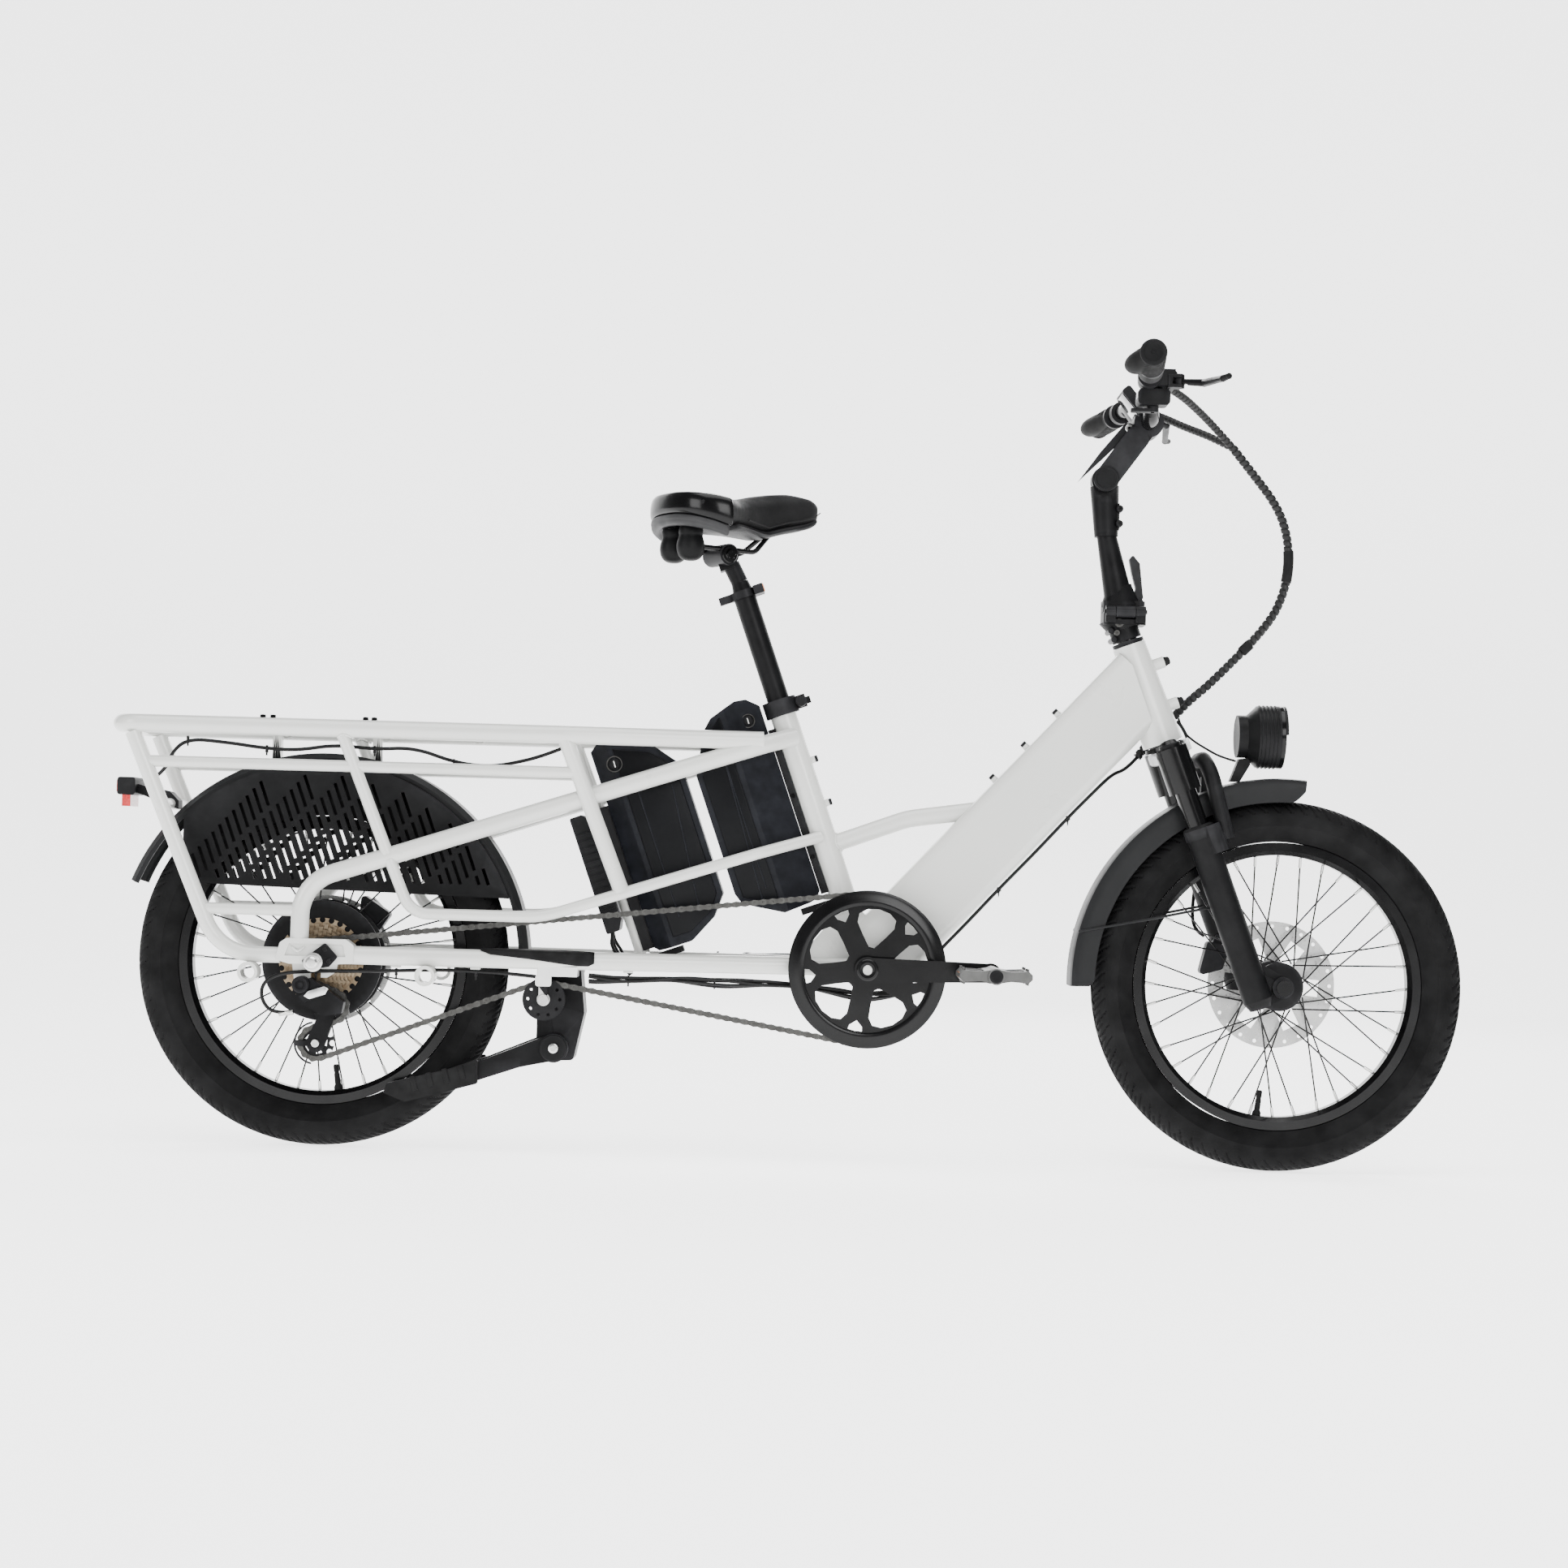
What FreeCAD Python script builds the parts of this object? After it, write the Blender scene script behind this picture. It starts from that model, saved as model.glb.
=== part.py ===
import FreeCAD, Part
import math
import os
import Sketcher
from FreeCAD import Placement, Rotation, Vector

# Long-tail electric cargo bicycle.  X points to the front, Z up, the ground is Z = 0
# and Y = 0 is the middle plane, with the chain on the -Y side.  Millimetres.

SIZES = {
    "origin_shift": 4.5,
    "rear_axle_x": -656,
    "wheelbase": 1340,
    "wheel_radius": 260,
    "tyre_half_width": 30,
    "tyre_wall": 4,
    "rim_outer_radius": 209,
    "rim_bead_radius": 202,
    "rim_inner_radius": 184,
    "rim_half_width": 17,
    "spoke_radius": 1.1,
    "spoke_pairs": 9,
    "front_axle_radius": 6,
    "rear_axle_radius": 7,
    "running_gap": 0.05,
    "rotor_radius": 90,
    "rotor_thickness": 1.8,
    "rotor_y": 38,
    "front_flange_radius": 34,
    "motor_radius": 84,
    "motor_half_width": 30,
    "chain_y": -59,
    "chain_pitch": 12.7,
    "chainring_teeth": 52,
    "small_cog_teeth": 14,
    "pulley_teeth": 11,
    "guard_radius": 109,
    "crank_length": 170,
    "crank_spindle_radius": 8.5,
    "bracket_x": 107,
    "bracket_z": 269.5,
    "seat_tube_angle": 70.3,
    "seat_tube_radius": 18.5,
    "seat_tube_length": 392,
    "seatpost_radius": 15.8,
    "head_angle": 69.5,
    "steerer_radius": 14.3,
    "stanchion_radius": 15,
    "fork_leg_y": 62,
    "fork_travel": 50,
    "rail_radius": 12.7,
    "thin_rail_radius": 8,
    "tail_tube_radius": 11,
    "strut_radius": 8.5,
    "rack_half_width": 88,
    "rack_z": 583,
    "tube_wall": 2.2,
    "bar_half_width": 340,
    "bar_radius": 11.1,
    "grip_radius": 16.5,
    "fender_radius": 290,
    "fender_thickness": 2.5,
    "guard_y": 41,
    "guard_slot_width": 4.6,
    "cable_radius": 2.5,
    "harness_radius": 6,
}

doc = FreeCAD.newDocument("CargoBicycle")
sheet = doc.addObject("Spreadsheet::Sheet", "Sizes")
for row, (alias, value) in enumerate(SIZES.items(), start=1):
    sheet.set(f"A{row}", alias)
    sheet.set(f"B{row}", str(value))
    sheet.setAlias(f"B{row}", alias)
doc.recompute()

nodes = []


def size(formula):
    """Value of a formula written with the sheet's aliases, each after 'Sizes.'."""
    return float(sheet.evalExpression(formula))


def cell(alias):
    return float(sheet.get(alias))


SHIFT = Vector(cell("origin_shift"), 0, 0)
REAR = Vector(cell("rear_axle_x"), 0, cell("wheel_radius"))
FRONT = Vector(REAR.x + cell("wheelbase"), 0, REAR.z)
BRACKET = Vector(cell("bracket_x"), 0, cell("bracket_z"))
Y_AXIS = Vector(0, 1, 0)


def slope(degrees, forward=False):
    """Unit vector in the middle plane that rises at an angle, leaning back unless forward."""
    turn = math.radians(degrees)
    return Vector(math.cos(turn) * (1 if forward else -1), 0, math.sin(turn))


SEAT_UP = slope(cell("seat_tube_angle"))
SEAT_FRONT = Vector(SEAT_UP.z, 0, -SEAT_UP.x)
STEER_UP = slope(cell("head_angle"))
STEER_FRONT = Vector(STEER_UP.z, 0, -STEER_UP.x)
HEAD_TOP = Vector(466, 0, 734.4)
HEAD_BOTTOM = HEAD_TOP - STEER_UP * 147.1


def on_seat(along, ahead=0, y=0):
    """Point beside the seat tube, measured from the bottom bracket."""
    return BRACKET + SEAT_UP * along + SEAT_FRONT * ahead + Vector(0, y, 0)


def on_steer(below, ahead=0, y=0):
    """Point beside the steering axis, measured down from the head tube's top."""
    return HEAD_TOP - STEER_UP * below + STEER_FRONT * ahead + Vector(0, y, 0)


# ---------------------------------------------------------------- shape helpers

def register(thing, label, at=Vector(0, 0, 0), turn=Rotation()):
    """Name a finished sub-part and put it where it belongs on the bicycle."""
    thing.Label = label
    thing.Placement = Placement(at + SHIFT, turn)
    nodes.append(thing)
    return thing


def feature(label, shape, at=Vector(0, 0, 0)):
    thing = doc.addObject("Part::Feature", label)
    thing.Shape = shape
    own = shape.Placement
    return register(thing, label, at + own.Base, own.Rotation)


def rod(start, end, radius):
    return Part.makeCylinder(radius, (end - start).Length, start, end - start)


def cross_rod(centre, radius, y0, y1):
    """Cylinder along Y between two depths."""
    start = Vector(centre.x, y0, centre.z)
    return Part.makeCylinder(radius, y1 - y0, start, Y_AXIS)


def ring(centre, outer, inner, y0, y1):
    return cross_rod(centre, outer, y0, y1).cut(cross_rod(centre, inner, y0 - 1, y1 + 1))


def cone(start, end, radius_start, radius_end):
    return Part.makeCone(radius_start, radius_end, (end - start).Length, start, end - start)


def block(low, high):
    return Part.makeBox(high.x - low.x, high.y - low.y, high.z - low.z, low)


def panel(outline, y0, y1):
    """Flat outline of (x, z) points, made thick between two depths."""
    corners = [Vector(x, y0, z) for x, z in outline]
    face = Part.Face(Part.makePolygon(corners + corners[:1]))
    return face.extrude(Vector(0, y1 - y0, 0))


def upright_box(centre, along, ahead, half_along, half_ahead, half_y):
    """Box whose sides follow two slanted directions of the middle plane."""
    low = centre - along * half_along - ahead * half_ahead - Y_AXIS * half_y
    corners = [low, low + ahead * 2 * half_ahead,
               low + ahead * 2 * half_ahead + Y_AXIS * 2 * half_y, low + Y_AXIS * 2 * half_y]
    face = Part.Face(Part.makePolygon(corners + corners[:1]))
    return face.extrude(along * 2 * half_along)


def edges_along(shape, direction):
    """Straight edges that run along a direction."""
    found = []
    for edge in shape.Edges:
        if isinstance(edge.Curve, (Part.Line, Part.LineSegment)):
            run = edge.Vertexes[-1].Point - edge.Vertexes[0].Point
            if run.Length > 0 and abs(abs(run.dot(direction)) - run.Length) < 1e-4 * run.Length:
                found.append(edge)
    return found


def softened(shape, direction, radius):
    return shape.makeFillet(radius, edges_along(shape, direction))


def route(points, bends):
    """Wire of straight runs joined by tangent arcs, one bend radius per inner point."""
    if not isinstance(bends, (list, tuple)):
        bends = [bends] * (len(points) - 2)
    edges = []
    here = points[0]
    for before, corner, after, bend in zip(points, points[1:], points[2:], bends):
        back = (before - corner).normalize()
        ahead = (after - corner).normalize()
        half = (math.pi - back.getAngle(ahead)) / 2
        reach = bend * math.tan(half)
        arc_start = corner + back * reach
        arc_end = corner + ahead * reach
        middle = (back + ahead).normalize()
        arc_middle = corner + middle * (bend / math.cos(half) - bend)
        edges.append(Part.LineSegment(here, arc_start).toShape())
        edges.append(Part.Arc(arc_start, arc_middle, arc_end).toShape())
        here = arc_end
    edges.append(Part.LineSegment(here, points[-1]).toShape())
    return Part.Wire(edges)


def bent_tube(points, radius, bends=30):
    """Round bar along a route, open tubes being two of these, one cut from the other."""
    spine = route(points, bends)
    circle = Part.Wire(Part.makeCircle(radius, points[0], points[1] - points[0]))
    return spine.makePipeShell([circle], True, False)


def cord_bends(points):
    """Largest tangent arcs that a cord's runs leave room for."""
    radii = []
    for before, corner, after in zip(points, points[1:], points[2:]):
        back = before - corner
        ahead = after - corner
        half = (math.pi - back.getAngle(ahead)) / 2
        radii.append(0.45 * min(back.Length, ahead.Length) / math.tan(half))
    return radii


def cord(points, radius):
    """Cable or hose along its route; its volume is checked against its length."""
    bends = cord_bends(points)
    length = route(points, bends).Length
    solid = bent_tube(points, radius, bends)
    expected = math.pi * radius ** 2 * length
    print(f"cord {length:.0f} mm, tightest {min(bends):.0f} mm,"
          f" volume ratio {solid.Volume / expected:.4f}")
    return solid


def joined(shapes):
    return shapes[0].fuse(shapes[1:]).removeSplitter()


def mirrored(shape):
    return shape.mirror(Vector(0, 0, 0), Y_AXIS)


def span(side, near, far):
    """Low and high depth of a stretch that is given for the +Y side."""
    return sorted((side * near, side * far))


def side_block(side, x, y, z):
    """Box from (low, high) pairs, whose depth pair is given for the +Y side."""
    low, high = span(side, *y)
    return block(Vector(x[0], low, z[0]), Vector(x[1], high, z[1]))


# ------------------------------------------------------------- PartDesign helpers

class Turning:
    """A body turned about its own Y axis, with holes and pads made from its side view."""

    def __init__(self, name):
        self.name = name
        self.body = doc.addObject("PartDesign::Body", name)

    def origin(self, role):
        return next(item for item in self.body.Origin.OriginFeatures if item.Role == role)

    def sketch(self, plane):
        drawing = self.body.newObject("Sketcher::SketchObject", self.name + "_sketch")
        drawing.AttachmentSupport = [(self.origin(plane), "")]
        drawing.MapMode = "FlatFace"
        return drawing

    def outline(self, plane, corners):
        """Closed outline whose corners are pairs of formulas."""
        drawing = self.sketch(plane)
        places = [Vector(size(a), size(b), 0) for a, b in corners]
        for start, end in zip(places, places[1:] + places[:1]):
            drawing.addGeometry(Part.LineSegment(start, end), False)
        for index in range(len(corners)):
            after = (index + 1) % len(corners)
            drawing.addConstraint(Sketcher.Constraint("Coincident", index, 2, after, 1))
        for index, (place, formulas) in enumerate(zip(places, corners)):
            for kind, value, formula in zip(("DistanceX", "DistanceY"), place, formulas):
                row = drawing.addConstraint(Sketcher.Constraint(kind, index, 1, value))
                drawing.setExpression(f"Constraints[{row}]", formula)
        return drawing

    def revolve(self, corners):
        """Solid of revolution from (radius, depth) corners."""
        drawing = self.outline("XY_Plane", corners)
        turn = self.body.newObject("PartDesign::Revolution", self.name + "_turned")
        turn.Profile = drawing
        turn.ReferenceAxis = (drawing, ["V_Axis"])
        turn.Angle = 360
        doc.recompute()
        return self

    def holes(self, x, z, radius, count):
        """Round holes right through, repeated about the axis."""
        drawing = self.sketch("XZ_Plane")
        place = Vector(size(x), size(z), 0)
        drawing.addGeometry(Part.Circle(place, Vector(0, 0, 1), size(radius)), False)
        for kind, value, formula in (("DistanceX", place.x, x), ("DistanceY", place.y, z)):
            row = drawing.addConstraint(Sketcher.Constraint(kind, 0, 3, value))
            drawing.setExpression(f"Constraints[{row}]", formula)
        row = drawing.addConstraint(Sketcher.Constraint("Radius", 0, size(radius)))
        drawing.setExpression(f"Constraints[{row}]", radius)
        return self.cut_through(drawing, count)

    def windows(self, corners, count):
        """Openings of a drawn shape right through, repeated about the axis."""
        return self.cut_through(self.outline("XZ_Plane", corners), count)

    def cut_through(self, drawing, count):
        pocket = self.body.newObject("PartDesign::Pocket", self.name + "_pocket")
        pocket.Profile = drawing
        pocket.Type = "ThroughAll"
        pocket.SideType = "Symmetric"
        doc.recompute()
        if count > 1:
            pattern = self.body.newObject("PartDesign::PolarPattern", self.name + "_pattern")
            pattern.Originals = [pocket]
            pattern.Axis = (self.origin("Y_Axis"), [""])
            pattern.Angle = 360
            pattern.Occurrences = count
            self.body.Tip = pattern
            doc.recompute()
        return self


def group(label, members, at=Vector(0, 0, 0)):
    """Several separate solids that share one node."""
    compound = doc.addObject("Part::Compound", label)
    compound.Links = members
    doc.recompute()
    return register(compound, label, at)


# ------------------------------------------------------------------ welded frame

DOWN_UP = Vector(0.677, 0, 0.736)
DOWN_NORMAL = Vector(-0.736, 0, 0.677)
DOWN_HALF_HEIGHT = 53
DOWN_HALF_WIDTH = 29
SEAT_TOP = on_seat(cell("seat_tube_length"))
WALL = cell("tube_wall")


def on_down(along, out=0, y=0):
    """Point beside the down tube, measured up from the bottom bracket."""
    return BRACKET + DOWN_UP * along + DOWN_NORMAL * out + Vector(0, y, 0)


def down_tube(inset):
    """Down tube's outside (inset 0) or inside, cut off where the head tube begins."""
    bar = upright_box(on_down(295), DOWN_UP, DOWN_NORMAL, 270 - inset,
                      DOWN_HALF_HEIGHT - inset, DOWN_HALF_WIDTH - inset)
    bar = softened(bar, DOWN_UP, 14 - inset)
    ahead = upright_box(on_steer(80, 100 - 8), STEER_UP, STEER_FRONT, 200, 100, 60)
    return bar.cut(ahead)


def bracket_gusset():
    side = panel([(96, 352), (60, 340), (22, 294), (22, 259), (96, 246),
                  (128, 240), (168, 254), (150, 300)], -22, 22)
    return softened(side, Y_AXIS, 6)


def main_tubes():
    """Seat tube, down tube, bottom bracket shell and gusset, all solid."""
    seat_tube = rod(BRACKET, SEAT_TOP, cell("seat_tube_radius"))
    shell = cross_rod(BRACKET, 25, -36, 36)
    return joined([seat_tube, shell, bracket_gusset(), down_tube(0)])


def build_main_frame():
    head_tube = cone(HEAD_BOTTOM, HEAD_TOP, 29, 23.5)
    mid_tube = bent_tube([Vector(44, 0, 438), Vector(160, 0, 481), Vector(262, 0, 496)],
                         cell("rail_radius"), 120)
    bosses = [rod(on_steer(below, 18), on_steer(below, 39), 8.5) for below in (38, 98)]
    frame = joined([main_tubes(), head_tube, mid_tube] + bosses)
    seat_bore = rod(on_seat(60), on_seat(400), cell("seatpost_radius") + cell("running_gap"))
    head_bore = rod(on_steer(-1), on_steer(148), 17)
    cup_seats = [rod(on_steer(-1), on_steer(12), 20), rod(on_steer(136), on_steer(149), 24)]
    shell_bore = cross_rod(BRACKET, cell("crank_spindle_radius") + cell("running_gap"), -40, 40)
    hollow = down_tube(3)
    hollow = hollow.cut(rod(on_steer(-20), on_steer(170), 26))
    hollow = hollow.cut(rod(BRACKET, SEAT_TOP, cell("seat_tube_radius")))
    hollow = hollow.cut(cross_rod(BRACKET, 28, -40, 40))
    clamp_slot = upright_box(on_seat(380, 20), SEAT_UP, SEAT_FRONT, 14, 8, 1.5)
    for void in [seat_bore, head_bore, shell_bore, hollow, clamp_slot] + cup_seats:
        frame = frame.cut(void)
    return frame


def side_tubes(inset):
    """Every tube of the -Y side, solid; inset 0 is the outside, the wall gives the bore."""
    y = -cell("rack_half_width")
    z = cell("rack_z")
    rail = cell("rail_radius") - inset
    thin = cell("thin_rail_radius") - inset
    end = inset
    return [
        bent_tube([Vector(-906, y, z), Vector(-330, y, z), Vector(-46 - end, -60, z)],
                  rail, 300),
        bent_tube([Vector(-678, y, 286 + end), Vector(-678, y, 368.6),
                   Vector(-50, -60, 576.3), Vector(-4 - end, -20, 591)], rail, [62, 50]),
        rod(Vector(-899 + end, y, 531), Vector(-300 - end, -85, 531), thin),
        bent_tube([Vector(-917, y, z - 12 - end), Vector(-789, y, 268),
                   Vector(-704 - end, y, 268)], cell("tail_tube_radius") - inset, 75),
        rod(Vector(-811 + end, y, 330), Vector(-684 - end, y, 330), thin),
        rod(Vector(-628, y, 577 - end), Vector(-560, y, 411 + end), cell("strut_radius") - inset),
        rod(Vector(-319, -86, 577 - end), Vector(-236, -78, 368 + end),
            cell("tail_tube_radius") - inset),
        bent_tube([Vector(-557, y, 404 - end), Vector(-526, y, 330), Vector(-345, y, 330),
                   Vector(-50, -60, 425.9), Vector(38 - end, -18, 452)], thin, [38, 160, 50]),
        bent_tube([Vector(-612 + end, y, 270.5), Vector(-420, y, 270.5),
                   Vector(-60, -40, 270.5), Vector(92 - end, -24, 270.5)],
                  cell("rail_radius") - inset, [220, 220]),
    ]


def dropout():
    """Forged end with the slot that the rear axle drops into."""
    body = panel([(-709, 262), (-703, 286), (-694, 292), (-612, 292), (-601, 284), (-601, 259),
                  (-640, 257), (-690, 257)], -101, -75)
    body = softened(body, Y_AXIS, 4)
    recess = panel([(-696, 268), (-690, 285), (-616, 285), (-612, 268)], -102, -97)
    plate = panel([(-690, 290), (-620, 290), (-628, 246), (-640, 238), (-672, 238), (-684, 246)],
                  -76, -69)
    hanger = panel([(-690, 262), (-660, 262), (-662, 222), (-684, 222)], -76, -70)
    slot = panel([(REAR.x - 7.2, 230), (REAR.x - 7.2, 260), (REAR.x + 7.2, 260),
                  (REAR.x + 7.2, 230)], -110, -60)
    eye = cross_rod(REAR, 7.2, -110, -60)
    return joined([body.cut(recess), plate, hanger]).cut(slot).cut(eye)


def foot_ring(x, top):
    """Short cross tube under the frame that accessories are fixed in."""
    y = -cell("rack_half_width")
    return (cross_rod(Vector(x, 0, top - 12.5), 14, y - 27, y + 3),
            cross_rod(Vector(x, 0, top - 12.5), 9.5, y - 30, y + 6))


def build_side_frame():
    outside = joined(side_tubes(0))
    rings = [foot_ring(-744, 257), foot_ring(-501, 258)]
    solid = joined([outside, dropout()] + [outer for outer, inner in rings])
    for bore in side_tubes(WALL):
        solid = solid.cut(bore)
    for outer, inner in rings:
        solid = solid.cut(inner)
    return solid.cut(main_tubes()), outside


def build_cross_tubes(side_outside):
    """Deck bars, tail loop and the upright that carries the rear battery."""
    z = cell("rack_z")
    y = cell("rack_half_width")
    thin = cell("thin_rail_radius")
    loop = bent_tube([Vector(-906, -y, z), Vector(-937, -y, z), Vector(-937, y, z),
                      Vector(-906, y, z)], cell("rail_radius"), 28)
    bars = [cross_rod(Vector(x, 0, z), thin, -y, y) for x in (-731, -590, -455)]
    bars += [cross_rod(Vector(-878, 0, 473), thin, -y, y)]
    upright = joined([cross_rod(Vector(-319, 0, z), thin, -y, y),
                      rod(Vector(-207.5, 0, 281), Vector(-319, 0, 583), 10.5),
                      cross_rod(Vector(-205, 0, 272), 10, -62, 62)])
    both = side_outside.fuse(mirrored(side_outside))
    return Part.makeCompound([bar.cut(both) for bar in [loop] + bars + [upright]])


main_frame = build_main_frame()
side_frame, side_outside = build_side_frame()
cross_tubes = build_cross_tubes(side_outside)
feature("main_frame", main_frame)
feature("side_frame_right", side_frame)
feature("side_frame_left", mirrored(side_frame))
feature("rack_cross_tubes", cross_tubes)


def build_frame_fasteners():
    """Bottle-mount bolts, head-tube plugs and the rack's threaded knobs."""
    bolts = []
    for along in (445, 381, 317):
        bolts.append(rod(on_down(along, 53), on_down(along, 57.5), 4.5))
    for along in (302, 238):
        bolts.append(rod(on_seat(along, 18.5), on_seat(along, 24), 4.5).cut(main_frame))
    for below in (38, 98):
        bolts.append(rod(on_steer(below, 39), on_steer(below, 45), 7))
    for x in (-738, -724, -596, -584):
        for y in (-cell("rack_half_width"), cell("rack_half_width")):
            foot = Vector(x, y, cell("rack_z") + 8)
            bolts.append(rod(foot, foot + Vector(0, 0, 11), 4.5).cut(side_outside)
                         .cut(mirrored(side_outside)))
    return Part.makeCompound(bolts)


feature("frame_fasteners", build_frame_fasteners())
doc.recompute()


# -------------------------------------------------------------- seat and seatpost

POST_TOP = 588


def build_seat_clamp():
    """Collar on the seat tube's top with its bolt and the folded quick-release lever."""
    collar = rod(on_seat(374), on_seat(397), 24).cut(rod(on_seat(370), on_seat(390), 18.5))
    ears = upright_box(on_seat(385.5, 28), SEAT_UP, SEAT_FRONT, 9, 9, 9)
    pin = cross_rod(on_seat(385.5, 30), 4, -19, 16)
    nut = cross_rod(on_seat(385.5, 30), 8, -23, -9)
    lever = softened(upright_box(on_seat(385.5, 22), SEAT_UP, SEAT_FRONT, 5, 22, 3),
                     SEAT_FRONT, 2).translated(Vector(0, 19, 0))
    slot = upright_box(on_seat(385.5, 30), SEAT_UP, SEAT_FRONT, 20, 16, 1)
    body = joined([collar, ears.cut(rod(on_seat(370), on_seat(400), 18.5))]).cut(slot)
    clamp = joined([body, pin, nut, lever]).cut(rod(on_seat(370), on_seat(400), 16.4))
    return clamp.cut(rod(on_seat(360), on_seat(392.2), 18.6))


def build_seatpost():
    """Telescoping post with its swaged top, reflector ring and two-bolt saddle clamp."""
    radius = cell("seatpost_radius")
    tube = rod(on_seat(232), on_seat(550), radius)
    swage = cone(on_seat(550), on_seat(572), radius, 12)
    neck = rod(on_seat(572), on_seat(600, -4), 12)
    hollow = rod(on_seat(230), on_seat(545), radius - 2.3)
    hub = turned_saddle(cross_rod(Vector(-9, 0, -6), 15, -26, 26))
    yoke = upright_box(on_seat(606, -10), SEAT_UP, SEAT_FRONT, 12, 11, 14)
    strap = joined([rod(on_seat(548.5), on_seat(559.5), 19.5),
                    upright_box(on_seat(554, -26), SEAT_UP, SEAT_FRONT, 5.5, 10, 5),
                    upright_box(on_seat(554, 22), SEAT_UP, SEAT_FRONT, 6.5, 7, 22)])
    post = joined([tube, swage, neck, hub, yoke, strap.cut(rod(on_seat(540), on_seat(553), 10))])
    rails = saddle_rails()
    return post.cut(hollow).cut(rails)


SADDLE_TURN = 30
SADDLE_FOOT = Vector(-106, 0, 851)


def saddle_frame_rails():
    """Two steel rails under the saddle, before the saddle is turned on its post."""
    rails = []
    for side in (-1, 1):
        points = [Vector(-70, 24 * side, 30), Vector(-54, 22 * side, 2),
                  Vector(34, 21 * side, 0), Vector(66, 8 * side, 30)]
        rails.append(bent_tube(points, 3.5, [12, 16]))
    return rails


def turned_saddle(shape):
    """Turns a piece drawn about the saddle clamp to where the saddle points."""
    moved = shape.copy()
    moved.rotate(Vector(0, 0, 0), Vector(0, 0, 1), SADDLE_TURN)
    moved.translate(SADDLE_FOOT)
    return moved


def saddle_rails():
    return turned_saddle(Part.makeCompound(saddle_frame_rails()))


def build_saddle_frame():
    """Rails, base plate and the pair of elastomer springs at the rear."""
    springs = []
    for side in (-1, 1):
        foot = Vector(-71, 25 * side, 6)
        springs.append(rod(foot, foot + Vector(0, 0, 26), 16).fuse(
            Part.makeSphere(18, foot + Vector(0, 0, -6))))
    outline = [Vector(-82, -50, 31), Vector(-40, -58, 31), Vector(10, -30, 31),
               Vector(70, -14, 31), Vector(70, 14, 31), Vector(10, 30, 31),
               Vector(-40, 58, 31), Vector(-82, 50, 31)]
    base = Part.Face(Part.makePolygon(outline + outline[:1])).extrude(Vector(0, 0, 6))
    return turned_saddle(joined([base] + springs + saddle_frame_rails()))


def saddle_section(x, half_width, low, high):
    """Closed rounded cross-section of the saddle at one place along it."""
    points = [Vector(x, 0, high), Vector(x, half_width * 0.62, high - 3),
              Vector(x, half_width, (low + high) / 2 + 2), Vector(x, half_width * 0.7, low),
              Vector(x, 0, low), Vector(x, -half_width * 0.7, low),
              Vector(x, -half_width, (low + high) / 2 + 2), Vector(x, -half_width * 0.62, high - 3)]
    curve = Part.BSplineCurve()
    curve.interpolate(points, PeriodicFlag=True)
    return Part.Wire([curve.toShape()])


def build_saddle():
    """Padded shell with a deep rear skirt, hollow underneath for its springs and rails."""
    sections = [(-104, 60, 22, 66), (-94, 84, 12, 74), (-66, 94, 8, 78), (-30, 82, 12, 70),
                (10, 52, 20, 68), (55, 32, 26, 74), (100, 27, 34, 86), (130, 24, 42, 88),
                (148, 14, 54, 80)]
    hollow = [(-92, 54, -10, 36), (-62, 80, -10, 36), (-25, 68, -10, 36), (15, 42, -10, 36),
              (72, 20, -10, 36)]
    shell = Part.makeLoft([saddle_section(*section) for section in sections], True, False)
    room = Part.makeLoft([saddle_section(*section) for section in hollow], True, False)
    keep = block(Vector(-95, -90, -20), Vector(75, 90, 37.3))
    return turned_saddle(shell.cut(room.common(keep)).cut(saddle_plate_room()))


def saddle_plate_room():
    """Space of the base plate under the padding."""
    outline = [Vector(-83, -51, 20), Vector(-40, -59, 20), Vector(11, -31, 20),
               Vector(71, -15, 20), Vector(71, 15, 20), Vector(11, 31, 20),
               Vector(-40, 59, 20), Vector(-83, 51, 20)]
    return Part.Face(Part.makePolygon(outline + outline[:1])).extrude(Vector(0, 0, 17.3))


feature("seat_clamp", build_seat_clamp())
feature("seatpost", build_seatpost())
feature("saddle_frame", build_saddle_frame())
feature("saddle", build_saddle())


# ------------------------------------------------------------------------ wheels

def tyre_outline():
    """Cross-section of the tyre as (radius, depth) formulas, open towards the rim."""
    half = [("Sizes.rim_bead_radius", 14), ("Sizes.rim_outer_radius + 3", 19),
            ("Sizes.wheel_radius - 33", 29), ("Sizes.wheel_radius - 22", 30),
            ("Sizes.wheel_radius - 9", 26), ("Sizes.wheel_radius - 2.5", 15),
            ("Sizes.wheel_radius", 5)]
    inner = [("Sizes.wheel_radius - 1.5 * Sizes.tyre_wall", "4"),
             ("Sizes.wheel_radius - 12 - Sizes.tyre_wall", "24 - Sizes.tyre_wall"),
             ("Sizes.wheel_radius - 31", "28 - Sizes.tyre_wall"),
             ("Sizes.rim_outer_radius + 4", "18.5 - Sizes.tyre_wall"),
             ("Sizes.rim_bead_radius", "15 - Sizes.tyre_wall")]
    outer = [(radius, f"Sizes.tyre_half_width * {depth / 30:.4f}") for radius, depth in half]
    outer_low = [(radius, f"-({depth})") for radius, depth in outer]
    inner_low = [(radius, f"-({depth})") for radius, depth in inner]
    return outer_low + outer[::-1] + inner[::-1] + inner_low


def build_tyre(label, centre):
    return register(Turning(label).revolve(tyre_outline()).body, label, centre)


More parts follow.
